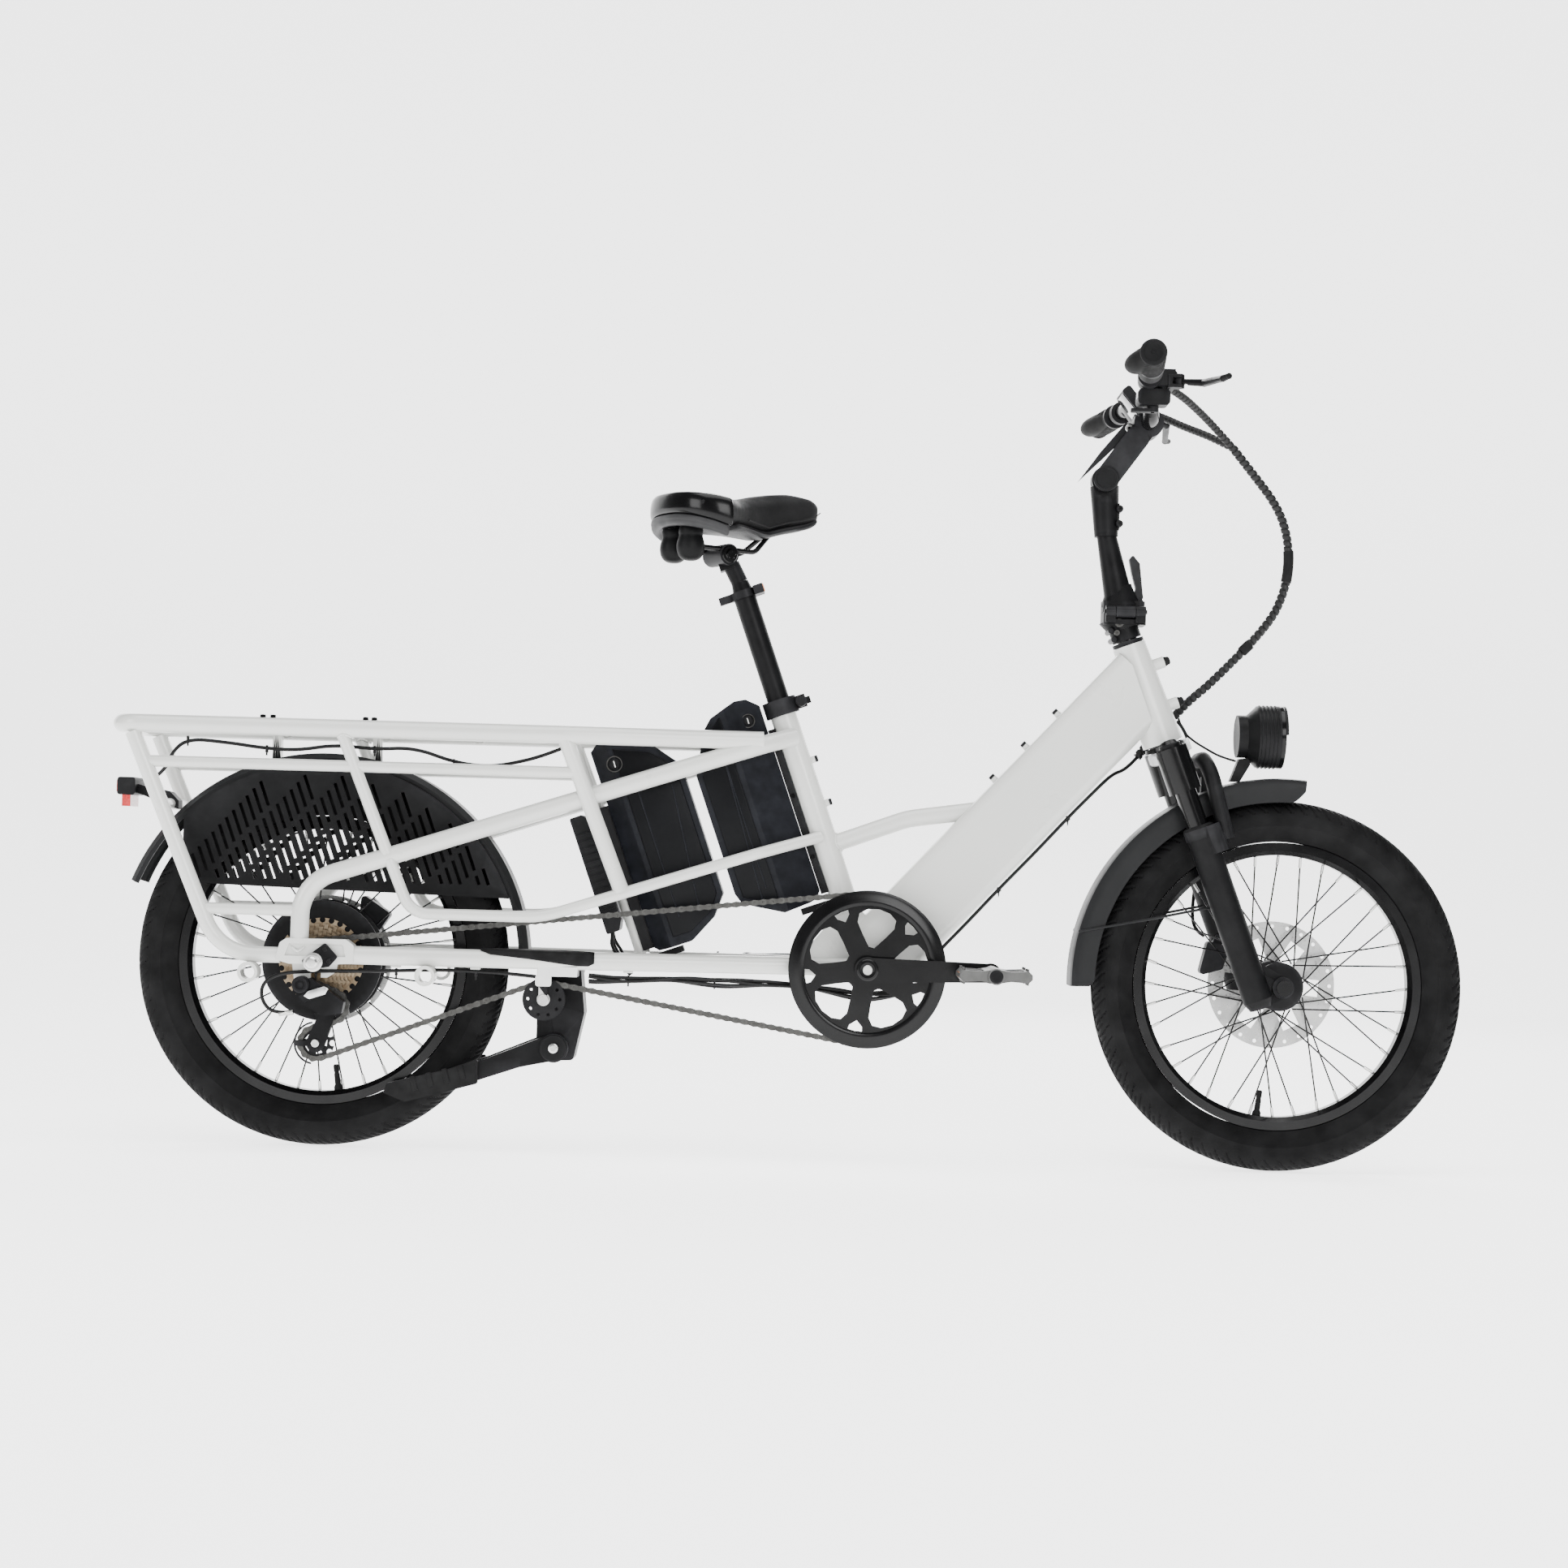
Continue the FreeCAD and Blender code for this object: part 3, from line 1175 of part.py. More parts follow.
def build_kickstand_bracket():
    """Yoke under the chainstays that carries the stand's axle and the idler's bolt."""
    web = panel([(-349, 257), (-292, 257), (-286, 196), (-300, 130), (-345, 128), (-352, 160),
                 (-352, 226)], -30, 30)
    top = block(Vector(-348, -84, 248.5), Vector(-294, 84, 262))
    bolt = cross_rod(IDLER, 5, -72, -30)
    nut = cross_rod(IDLER, 9, -72, -67)
    spacer = cross_rod(IDLER, 9, -51.5, -30)
    body = joined([softened(web, Y_AXIS, 5), top, bolt, nut, spacer])
    tab = panel([(-352, 234), (-352, 250), (-330, 250), (-330, 234)], -76, -72.3)
    tab = softened(tab, Y_AXIS, 4)
    stay = block(Vector(-350, -76, 246), Vector(-332, -72.3, 262))
    nose = cross_rod(IDLER, 6, -76, -72)
    arm = panel([(-347, 214), (-347, 240), (-335, 240), (-335, 214)], -76, -72)
    body = joined([body, tab, stay, nose, arm])
    body = body.cut(cross_rod(STAND_PIVOT, 8 + cell("running_gap"), -60, 60))
    return body.cut(side_frame).cut(mirrored(side_frame)).cut(cross_tubes)


STAND_PIVOT = Vector(-326, 0, 147.6)


def build_kickstand_legs():
    """Double-leg stand, folded back, with its rubber feet."""
    outline = [(-310, 157), (-338, 164), (-372, 150), (-425, 128), (-490, 106), (-556, 90),
               (-553, 77), (-520, 72), (-430, 100), (-372, 120), (-330, 129), (-312, 135)]
    leg_plate = softened(panel(outline, 31, 51), Y_AXIS, 4)
    foot = softened(panel([(-430, 130), (-474, 114), (-556, 93), (-560, 80), (-530, 68),
                           (-430, 96)], 51, 60), Y_AXIS, 3)
    disc = cross_rod(STAND_PIVOT, 20, 31, 54)
    half = joined([leg_plate, foot, disc])
    axle = cross_rod(STAND_PIVOT, 8, -57, 57)
    return joined([half, mirrored(half), axle])


derailleur_cage = build_derailleur_cage()
feature("chain", build_chain())
build_chainring()
feature("crank_arm_right", build_crank(-1))
feature("crank_arm_left", build_crank(1))
feature("pedal_right", build_pedal(-1))
feature("pedal_left", build_pedal(1))
build_cassette()
build_pulley("guide_pulley", GUIDE)
build_pulley("tension_pulley", TENSION)
build_idler()
feature("derailleur", Part.makeCompound([derailleur_cage, build_derailleur()]))
feature("kickstand_bracket", build_kickstand_bracket())
feature("kickstand_legs", build_kickstand_legs())
doc.recompute()


# ---------------------------------------------------------- batteries and electrics

def seat_panel(outline, y0, y1):
    """Outline of (along, ahead) points beside the seat tube, made thick across."""
    points = [on_seat(along, ahead) for along, ahead in outline]
    return panel([(point.x, point.z) for point in points], y0, y1)


def battery(outline, narrow_edge, wide_edge):
    """Case with its edge that faces its rail narrowed so that the frame tubes pass."""
    case = seat_panel(outline, -42, 42)
    for side in (-1, 1):
        wedge = [on_seat(-20, narrow_edge, 17 * side), on_seat(-20, wide_edge, 42 * side),
                 on_seat(-20, wide_edge, 80 * side), on_seat(-20, narrow_edge, 80 * side)]
        if narrow_edge > wide_edge:
            wedge[0] = on_seat(-20, narrow_edge + 4, 15 * side)
            wedge[3] = on_seat(-20, narrow_edge + 4, 80 * side)
        prism = Part.Face(Part.makePolygon(wedge + wedge[:1])).extrude(SEAT_UP * 520)
        case = case.cut(prism)
    return case


FRONT_BATTERY = [(112, -46), (110, -84), (140, -137), (156, -142.5), (329, -142.5), (386, -114),
                 (400, -99), (413, -60), (411, -44), (397, -28), (124, -28), (114, -36)]
REAR_BATTERY = [(113, -255), (113, -219), (135, -180), (162, -158), (330, -158), (359, -163),
                (390, -187), (416, -262), (408, -274), (120, -274), (114, -268)]


def build_battery_docks():
    """Slide rails of both batteries and the controller case behind the rear one."""
    front = seat_panel([(118, -27.4), (118, -17), (360, -17), (360, -27.4)], -11, 11)
    front_foot = seat_panel([(98, -62), (98, -17), (107, -17), (107, -62)], -15, 15)
    front = front.fuse(front_foot).cut(main_frame).cut(
        rod(on_seat(0), SEAT_TOP, cell("seat_tube_radius")))
    rear = seat_panel([(120, -290), (120, -274.6), (330, -274.6), (330, -290)], -13, 13)
    rear_foot = seat_panel([(102, -290), (102, -235), (110.5, -235), (110.5, -290)], -15, 15)
    rear = rear.fuse(rear_foot).cut(cross_tubes)
    upright = rod(Vector(-207.5, 0, 281), Vector(-319, 0, 583), 10.5)
    rear = rear.cut(upright)
    case = seat_panel([(158, -330), (158, -312), (172, -305), (318, -305), (328, -312),
                       (328, -330)], -38, 38)
    strap = seat_panel([(220, -306), (220, -292), (260, -292), (260, -306)], -12, 12)
    case = softened(case, Y_AXIS, 3).fuse(strap).cut(upright).cut(cross_tubes)
    return Part.makeCompound([front, rear, case])


def build_tail_light():
    """Lamp with its lens, reflector and bracket on the rear cross tube."""
    body = softened(block(Vector(-949, -32, 484), Vector(-924, 32, 509)), Y_AXIS, 4)
    reflector = block(Vector(-943, -26, 468), Vector(-931, 26, 484))
    arm = panel([(-926, 488), (-926, 500), (-878, 490), (-866, 478), (-866, 466), (-900, 478)],
                -14, 14)
    bracket = joined([body, reflector, arm])
    return bracket.cut(cross_rod(Vector(-878, 0, 473), cell("thin_rail_radius"), -90, 90))


feature("front_battery", battery(FRONT_BATTERY, -28, -78))
feature("rear_battery", battery(REAR_BATTERY, -274, -250))
feature("battery_docks", build_battery_docks())
feature("tail_light", build_tail_light())


# ----------------------------------------------------------------------- cockpit

FOLD = Vector(455, -30, 779.5)
POST_FOOT = Vector(452, 0, 780)
POST_HEAD = Vector(430, 0, 891)
STEM_PIVOT = Vector(425.8, 0, 966.5)
BAR_CLAMP = Vector(484, 0, 1047.6)
LEVER_PIVOT = Vector(457.5, 0, 1040.2)
FOLD_LEVER_PIVOT = Vector(476, 0, 794)
STEM_ALONG = (BAR_CLAMP - STEM_PIVOT).normalize()
STEM_OUT = Vector(STEM_ALONG.z, 0, -STEM_ALONG.x)


def build_hinge_base():
    """Clamp on the steerer whose flat top carries the folding post."""
    sleeve = rod(on_steer(-8), on_steer(-34), 21)
    flare = cone(on_steer(-24), on_steer(-42), 22, 30)
    table = softened(block(Vector(427, -28, 762), Vector(487, 28, 779)), Vector(0, 0, 1), 9)
    knuckle = joined([Part.makeCylinder(8, 14, Vector(x, FOLD.y, FOLD.z), Vector(1, 0, 0))
                      for x in (429, 471)])
    cheeks = [block(Vector(x, -34, 764), Vector(x + 14, -22, 780)) for x in (429, 471)]
    bolts = [cross_rod(on_steer(-14, -20), 4, -22, 22), cross_rod(on_steer(-27, -20), 4, -22, 22)]
    body = joined([sleeve, flare, table, knuckle] + cheeks + bolts)
    body = body.cut(rod(on_steer(-2), on_steer(-40), cell("steerer_radius")))
    body = body.cut(block(Vector(400, -18, 779.2), Vector(500, 40, 830)))
    middle = Part.makeCylinder(10, 28.6, Vector(442.7, FOLD.y, FOLD.z), Vector(1, 0, 0))
    middle_room = block(Vector(442.7, -45, 769), Vector(471.3, -18, 795))
    pin = Part.makeCylinder(3, 60, Vector(427, FOLD.y, FOLD.z), Vector(1, 0, 0))
    return body.cut(middle).cut(middle_room).fuse(pin).removeSplitter()


def build_handlepost():
    """Folding post: hinge leaf, tapered tube and the clamp that holds the stem's pivot."""
    leaf = softened(block(Vector(427, -17.5, 779.6), Vector(486, 28, 796)), Vector(0, 0, 1), 9)
    flare = cone(Vector(453, 2, 790), Vector(450, 0, 820), 28, 17)
    tube = cone(Vector(451, 0, 794), POST_HEAD, 20.5, 13.6)
    knuckle = Part.makeCylinder(8, 27, Vector(443.5, FOLD.y, FOLD.z), Vector(1, 0, 0))
    tongue = block(Vector(443.5, -30, 780), Vector(470.5, -14, 788))
    clamp = cone(POST_HEAD - Vector(0, 0, 4), Vector(426, 0, 958), 16.6, 20.4)
    ears = [cross_rod(Vector(447, 0, z), 5, -14, 14) for z in (905, 926)]
    lug = block(Vector(432, -10, 896), Vector(447, 10, 934))
    head = cross_rod(STEM_PIVOT, 19, -11.7, 11.7)
    pin = cross_rod(STEM_PIVOT, 6, -25, 25)
    pieces = [leaf, flare, tube, knuckle, tongue, clamp, lug, head, pin] + ears
    body = joined(pieces)
    body = body.cut(Part.makeCylinder(3.05, 70, Vector(420, FOLD.y, FOLD.z), Vector(1, 0, 0)))
    rooms = [cross_rod(STEM_PIVOT, 24, 12, 30), cross_rod(STEM_PIVOT, 24, -30, -12)]
    for room in rooms:
        body = body.cut(room)
    body = body.fuse(pin)
    lug_room = cross_rod(FOLD_LEVER_PIVOT, 9.5, -6.4, 6.4)
    body = body.cut(lug_room)
    lever_room = block(Vector(467, -6.4, 786), Vector(500, 6.4, 900))
    body = body.cut(lever_room)
    lever_pin = cross_rod(FOLD_LEVER_PIVOT, 3, -12, 12)
    return joined([body, lever_pin])


def build_fold_lever():
    """Latch handle along the front of the post."""
    hub = cross_rod(FOLD_LEVER_PIVOT, 8.5, -6, 6)
    blade = panel([(470, 798), (484, 800), (478, 850), (468, 862), (463, 856), (467, 836),
                   (473, 815)], -6, 6)
    body = joined([hub, softened(blade, Y_AXIS, 2)])
    body = body.cut(handlepost)
    return body.cut(cross_rod(FOLD_LEVER_PIVOT, 3 + cell("running_gap"), -10, 10))


def build_stem():
    """Forked arm from the angle pivot to the bar clamp."""
    root = BAR_CLAMP - STEM_ALONG * 26
    cheeks = [link_plate(STEM_PIVOT, 17, root, 17, *span(side, 12, 23)) for side in (-1, 1)]
    start = STEM_PIVOT + STEM_ALONG * 27
    block_part = upright_box((start + BAR_CLAMP) * 0.5, STEM_ALONG, STEM_OUT,
                             (BAR_CLAMP - start).Length / 2, 16, 22)
    clamp = cross_rod(BAR_CLAMP, 21, -23, 23)
    lug = link_plate(BAR_CLAMP - STEM_ALONG * 22, 12, LEVER_PIVOT, 8, -8, 8)
    pin = cross_rod(LEVER_PIVOT, 3.5, -13, 13)
    body = joined(cheeks + [block_part, clamp, lug, pin])
    body = body.cut(cross_rod(STEM_PIVOT, 6 + cell("running_gap"), -30, 30))
    body = body.cut(cross_rod(STEM_PIVOT, 25, -12, 12))
    return body.cut(cross_rod(BAR_CLAMP, cell("bar_radius"), -40, 40))


STEM_LEVER_TURN = 60


def build_stem_lever():
    """Blade that releases the stem's angle, lying behind the arm."""
    tip = Vector(388, 0, 964)
    along = (tip - LEVER_PIVOT).normalize()
    out = Vector(along.z, 0, -along.x)
    cheeks = [cross_rod(LEVER_PIVOT, 8, *span(side, 8.3, 12)) for side in (-1, 1)]
    shape = [LEVER_PIVOT - along * 4 + out * 9, LEVER_PIVOT + along * 52 + out * 6, tip,
             LEVER_PIVOT + along * 50 - out * 3, LEVER_PIVOT + along * 4 - out * 5]
    blade = panel([(point.x, point.z) for point in shape], -12, 12)
    body = joined(cheeks + [blade])
    body = body.cut(cross_rod(LEVER_PIVOT, 8.6, -8.3, 8.3))
    body = body.cut(cross_rod(LEVER_PIVOT, 3.5 + cell("running_gap"), -20, 20))
    lug_room = link_plate(BAR_CLAMP - STEM_ALONG * 22, 13, LEVER_PIVOT, 8.6, -8.3, 8.3)
    body = body.cut(lug_room)
    for opened in range(0, STEM_LEVER_TURN + 3, 3):
        body = body.cut(stem.rotated(LEVER_PIVOT, Y_AXIS, -opened))
    return body


BAR_END = cell("bar_half_width")
BAR_ROUTE = [Vector(450, -BAR_END, 1092.5), Vector(471, -118, 1088), Vector(484, -52, 1047.6),
             Vector(484, 52, 1047.6), Vector(471, 118, 1088), Vector(450, BAR_END, 1092.5)]


def on_bar(side, across):
    """Point on the bar's outer part, counted from the middle plane."""
    inner = Vector(471, side * 118, 1088)
    outer = Vector(450, side * BAR_END, 1092.5)
    return inner + (outer - inner) * ((across - 118) / (BAR_END - 118))


def build_handlebar():
    radius = cell("bar_radius")
    bends = [58, 58, 58, 58]
    return bent_tube(BAR_ROUTE, radius, bends).cut(bent_tube(BAR_ROUTE, radius - 2.4, bends))


def bar_sleeve(side, start, end, radius):
    return rod(on_bar(side, start), on_bar(side, end), radius)


def build_grips():
    """Ergonomic grips with a palm wing and an end cap."""
    grips = []
    for side in (-1, 1):
        sleeve = bar_sleeve(side, 214 if side > 0 else 246, BAR_END - 0.5, cell("grip_radius"))
        cap = bar_sleeve(side, BAR_END - 0.5, BAR_END + 3, 17.5)
        middle = on_bar(side, 300)
        wing = Part.makeSphere(1)
        stretch = FreeCAD.Matrix()
        stretch.scale(27, 52, 8.5)
        wing = wing.transformGeometry(stretch)
        wing.rotate(Vector(0, 0, 0), Y_AXIS, -35)
        wing.translate(middle + Vector(-12, 0, -7))
        keep = side_block(side, (380, 520), (248, BAR_END - 1), (1000, 1150))
        wing = wing.common(keep)
        room = bar_sleeve(side, 150, BAR_END, cell("bar_radius"))
        grips.append(joined([sleeve, cap, wing]).cut(room))
    return Part.makeCompound(grips)


def lever_pivot(side):
    return Vector(506, side * 172, 1082)


def build_control_pods():
    """Brake masters, shifter pod and the display, each clamped to the bar."""
    pieces = []
    bar = bent_tube(BAR_ROUTE, cell("bar_radius"), [58, 58, 58, 58])
    for side in (-1, 1):
        ring_part = bar_sleeve(side, 164, 180, 16.5)
        pivot = lever_pivot(side)
        neck = side_block(side, (472, 500), (164, 180), (1076, 1098))
        tank = softened(side_block(side, (482, 504), (118, 168), (1074, 1098)), Y_AXIS, 5)
        ears = Part.makeCylinder(7, 18, pivot - Vector(0, 0, 9), Vector(0, 0, 1))
        link = side_block(side, (490, 508), (162, 182), (1073, 1091))
        pin = Part.makeCylinder(2.5, 18, pivot - Vector(0, 0, 9), Vector(0, 0, 1))
        body = joined([ring_part, neck, tank, ears, link])
        body = body.cut(block(pivot + Vector(-10.5, -24, -4.4), pivot + Vector(22, 24, 4.4)))
        pieces.append(body.fuse(pin).removeSplitter().cut(bar))
    pod = softened(block(Vector(452, -160, 1052), Vector(496, -128, 1074)), Y_AXIS, 6)
    pod = pod.fuse(bar_sleeve(-1, 132, 156, 16)).cut(bar)
    trigger_pin = Part.makeCylinder(2.5, 13, Vector(474, -144, 1042), Vector(0, 0, 1))
    pod = pod.fuse(trigger_pin)
    pieces.append(pod.removeSplitter())
    plane = upright_box(Vector(462, 0, 1077), Vector(-0.643, 0, 0.766), Vector(0.766, 0, 0.643),
                        22, 7, 38)
    screen = softened(plane, Y_AXIS, 4)
    mount = upright_box(Vector(474, 0, 1066), Vector(0.5, 0, 0.866), Vector(0.866, 0, -0.5),
                        12, 5, 10)
    bar_ring = ring(BAR_CLAMP, 15.5, cell("bar_radius"), 24, 36)
    side_mount = block(Vector(466, 24, 1050), Vector(478, 36, 1078))
    display = joined([screen, mount, bar_ring, side_mount])
    pieces.append(display.cut(bar).cut(stem))
    return Part.makeCompound(pieces)


def build_brake_lever(side):
    """Lever blade that falls a little to its hooked end, in front of the grip."""
    pivot = lever_pivot(side)
    hub = Part.makeCylinder(7.5, 8, pivot - Vector(0, 0, 4), Vector(0, 0, 1))
    elbow = Vector(536, side * 200, 1077)
    bend = Vector(547, side * 300, 1067.5)
    tip = Vector(553, side * 311, 1069)
    arm = cone(pivot, elbow, 4, 5.2).fuse(cone(elbow, bend, 5.5, 4.4)).fuse(cone(bend, tip, 4.6, 4))
    rounds = [Part.makeSphere(5.6, elbow), Part.makeSphere(4.8, bend), Part.makeSphere(4.2, tip)]
    lever = joined([hub, arm] + rounds)
    lever = lever.cut(Part.makeCylinder(15, 20, pivot - Vector(0, 0, 24), Vector(0, 0, 1)))
    return lever.cut(Part.makeCylinder(2.5 + cell("running_gap"), 30, pivot - Vector(0, 0, 15),
                                       Vector(0, 0, 1)))


def build_shift_trigger():
    """Thumb paddle under the shifter pod."""
    hub = Part.makeCylinder(8, 8, Vector(474, -144, 1043.4), Vector(0, 0, 1))
    paddle = softened(block(Vector(444, -152, 1043.4), Vector(474, -136, 1048)), Vector(0, 0, 1), 5)
    body = hub.fuse(paddle).removeSplitter()
    return body.cut(Part.makeCylinder(2.5 + cell("running_gap"), 30, Vector(474, -144, 1030),
                                      Vector(0, 0, 1)))


def build_throttle():
    """Twist sleeve inboard of the right grip."""
    gap = cell("bar_radius") + cell("running_gap")
    sleeve = bar_sleeve(-1, 206, 244, 17).cut(bar_sleeve(-1, 200, 250, gap))
    return sleeve


stem = build_stem()
handlepost = build_handlepost()
feature("hinge_base", build_hinge_base())
feature("handlepost", handlepost)
feature("fold_lever", build_fold_lever())
feature("stem", stem)
feature("stem_lever", build_stem_lever())
feature("handlebar", build_handlebar())
feature("grips", build_grips())
feature("control_pods", build_control_pods())
feature("brake_lever_right", build_brake_lever(-1))
feature("brake_lever_left", build_brake_lever(1))
feature("shift_trigger", build_shift_trigger())
feature("throttle", build_throttle())


# ------------------------------------------------------------------------- cables

HARNESS_LOWER = [Vector(486, 38, 578), Vector(510, 42, 610), Vector(534, 34, 634),
                 Vector(556, 20, 660), Vector(586, 8, 686), Vector(631.5, 0, 735.5)]
HARNESS_LOOP = [Vector(632.8, 0, 736.9), Vector(664, 0, 771), Vector(684, 0, 816),
                Vector(690, 0, 860), Vector(684, 0, 905), Vector(668, -2, 940),
                Vector(641, -4, 974), Vector(605, -8, 1016.6)]
HARNESS_RIGHT = [Vector(605, -8, 1016.6), Vector(578, -22, 1042), Vector(548, -54, 1062),
                 Vector(518, -90, 1078), Vector(493, -112, 1086)]
HARNESS_LEFT = [Vector(605, -8, 1016.6), Vector(574, 14, 1036), Vector(546, 50, 1052),
                Vector(516, 86, 1072), Vector(493, 112, 1084)]
UNDERSIDE = [on_down(30, -70), on_down(75, -57), on_down(140, -58), on_down(210, -57),
             on_down(280, -58), on_down(350, -57), on_down(410, -58), on_down(440, -60, 12),
             Vector(470, 30, 560), Vector(486, 38, 578)]
TAIL_CABLE = [Vector(-905, -20, 505), Vector(-880, -40, 520), Vector(-868, -60, 545),
              Vector(-845, -66, 564), Vector(-790, -66, 560), Vector(-735, -66, 553),
              Vector(-690, -64, 552), Vector(-640, -66, 561), Vector(-585, -66, 556),
              Vector(-530, -66, 560), Vector(-475, -64, 541), Vector(-425, -62, 536),
              Vector(-380, -62, 545), Vector(-345, -64, 556), Vector(-322, -66, 566)]
GEAR_CABLE = [Vector(-684, -85, 190), Vector(-712, -84, 186), Vector(-730, -82, 206),
              Vector(-728, -81, 230), Vector(-704, -80.5, 243), Vector(-655, -80, 247),
              Vector(-600, -77, 248), Vector(-545, -72, 250), Vector(-490, -70, 253),
              Vector(-435, -68, 252), Vector(-385, -66, 250), Vector(-352, -70, 247)]
CENTRE_CABLE = [Vector(-280, -50, 249), Vector(-225, -44, 247), Vector(-165, -38, 249),
                Vector(-105, -32, 246), Vector(-45, -26, 248), Vector(15, -20, 244),
                Vector(70, -12, 236), Vector(118, -4, 230), on_down(30, -70)]
LAMP_CABLE = [Vector(541, 18, 634), Vector(546, 14, 617), Vector(560, 8, 603),
              Vector(580, 4, 591), Vector(600, 0, 580), Vector(621, 0, 575)]
FRONT_HOSE = [Vector(541, 26, 630), on_steer(150, 46, 46), on_steer(185, 34, 92),
              on_steer(240, 8, 96), on_steer(300, 2, 92), on_steer(350, -8, 92),
              on_steer(392, -31, 76), on_steer(415, -36, 60), Vector(590, 54, 326)]


def build_frame_cables():
    """Harness to the middle of its loop, the light lead and the gear cable."""
    thin = cell("cable_radius")
    return Part.makeCompound([cord(HARNESS_LOWER, cell("harness_radius")), cord(UNDERSIDE, thin),
                              cord(TAIL_CABLE, thin), cord(GEAR_CABLE, thin),
                              cord(CENTRE_CABLE, thin)])


def build_steering_harness():
    """Upper half of the loop and its two branches to the controls."""
    wide = cell("harness_radius")
    return Part.makeCompound([cord(HARNESS_LOOP, wide), cord(HARNESS_RIGHT, wide * 0.75),
                              cord(HARNESS_LEFT, wide * 0.75)])


def build_fork_cables():
    """Lamp lead and front brake hose."""
    return Part.makeCompound([cord(LAMP_CABLE, 1.6), cord(FRONT_HOSE, cell("cable_radius"))])


feature("frame_cables", build_frame_cables())
feature("steering_harness", build_steering_harness())
feature("fork_cables", build_fork_cables())


# ----------------------------------------------------------------- check and write

doc.recompute()
for thing in doc.Objects:
    if "Invalid" in thing.State or "Error" in thing.State:
        raise RuntimeError(f"{thing.Label} failed: {thing.State}")
for node in nodes:
    if node.Shape.isNull() or not node.Shape.isValid() or not node.Shape.Solids:
        raise RuntimeError(f"{node.Label} has no valid solid")

os.makedirs("parts", exist_ok=True)
whole = FreeCAD.BoundBox()
for node in nodes:
    node.Shape.exportStep(f"parts/{node.Label}.step")
    whole.add(node.Shape.BoundBox)
print(len(nodes), "nodes,", whole)
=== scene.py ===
import math

import bmesh
import bpy
from mathutils import Matrix, Vector


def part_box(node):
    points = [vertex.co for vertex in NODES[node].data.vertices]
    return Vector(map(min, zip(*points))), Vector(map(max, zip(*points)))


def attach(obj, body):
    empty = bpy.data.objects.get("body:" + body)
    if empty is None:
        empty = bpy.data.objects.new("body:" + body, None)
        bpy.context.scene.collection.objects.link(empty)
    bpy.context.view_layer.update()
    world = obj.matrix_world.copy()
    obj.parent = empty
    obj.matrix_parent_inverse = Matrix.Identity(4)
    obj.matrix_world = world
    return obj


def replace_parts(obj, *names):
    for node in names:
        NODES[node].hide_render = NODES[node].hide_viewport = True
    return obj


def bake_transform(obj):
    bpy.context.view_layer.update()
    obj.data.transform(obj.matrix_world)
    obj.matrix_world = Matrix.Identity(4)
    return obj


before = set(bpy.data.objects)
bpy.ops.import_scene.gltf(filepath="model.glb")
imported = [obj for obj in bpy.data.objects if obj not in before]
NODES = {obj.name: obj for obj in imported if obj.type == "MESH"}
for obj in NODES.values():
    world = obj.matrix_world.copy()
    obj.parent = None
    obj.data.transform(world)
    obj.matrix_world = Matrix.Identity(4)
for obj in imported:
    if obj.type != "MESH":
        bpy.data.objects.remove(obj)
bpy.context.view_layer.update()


def middle(node):
    low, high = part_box(node)
    return (Vector(low) + Vector(high)) / 2


FRONT = middle("front_rim")
REAR = middle("rear_rim")
SHIFT = Vector((FRONT.x - 0.684, 0, 0))
BRACKET = Vector((0.107, 0, 0.2695)) + SHIFT
SEAT_UP = Vector((-math.cos(math.radians(70.3)), 0, math.sin(math.radians(70.3))))
SEAT_FRONT = Vector((SEAT_UP.z, 0, -SEAT_UP.x))
STEER_UP = Vector((-math.cos(math.radians(69.5)), 0, math.sin(math.radians(69.5))))
STEER_FRONT = Vector((STEER_UP.z, 0, -STEER_UP.x))
HEAD_TOP = Vector((0.466, 0, 0.7344)) + SHIFT
DOWN_UP = Vector((0.677, 0, 0.736))
DOWN_OUT = Vector((-0.736, 0, 0.677))
X_AXIS = Vector((1, 0, 0))
Y_AXIS = Vector((0, 1, 0))
Z_AXIS = Vector((0, 0, 1))
WORLD_AXES = (X_AXIS, Y_AXIS, Z_AXIS)
SIDES = (("right", -1), ("left", 1))


def at(x, y, z):
    """Point given in the frame's millimetres, before the bicycle is centred."""
    return Vector((x, y, z)) / 1000 + SHIFT


def on_seat(along, ahead=0, y=0):
    return BRACKET + (SEAT_UP * along + SEAT_FRONT * ahead + Y_AXIS * y) / 1000


def on_steer(below, ahead=0, y=0):
    return HEAD_TOP + (STEER_FRONT * ahead - STEER_UP * below + Y_AXIS * y) / 1000


def on_down(along, out=0, y=0):
    return BRACKET + (DOWN_UP * along + DOWN_OUT * out + Y_AXIS * y) / 1000


# ---- camera

IMAGE_SIZE = 1932
FOCAL = 3668
SENSOR = 36
CAMERA_PLACE = Vector((-0.0129, -4.2, 0.429))


def place_camera():
    """Level view from the bicycle's right, tilted a little, as in a studio side view."""
    roll = math.radians(1.591)
    rise = math.atan(84 / FOCAL)
    right = Vector((math.cos(roll), 0, math.sin(roll)))
    up = Vector((-math.sin(roll), 0, math.cos(roll)))
    ahead = (Y_AXIS * math.cos(rise) + up * math.sin(rise)).normalized()
    up = right.cross(ahead)
    data = bpy.data.cameras.new("camera")
    data.lens = FOCAL / IMAGE_SIZE * SENSOR
    data.sensor_width = SENSOR
    camera = bpy.data.objects.new("camera", data)
    bpy.context.scene.collection.objects.link(camera)
    turn = Matrix((right, up, -ahead)).transposed()
    camera.matrix_world = Matrix.Translation(CAMERA_PLACE + SHIFT) @ turn.to_4x4()
    bpy.context.scene.camera = camera


place_camera()


# ---- materials

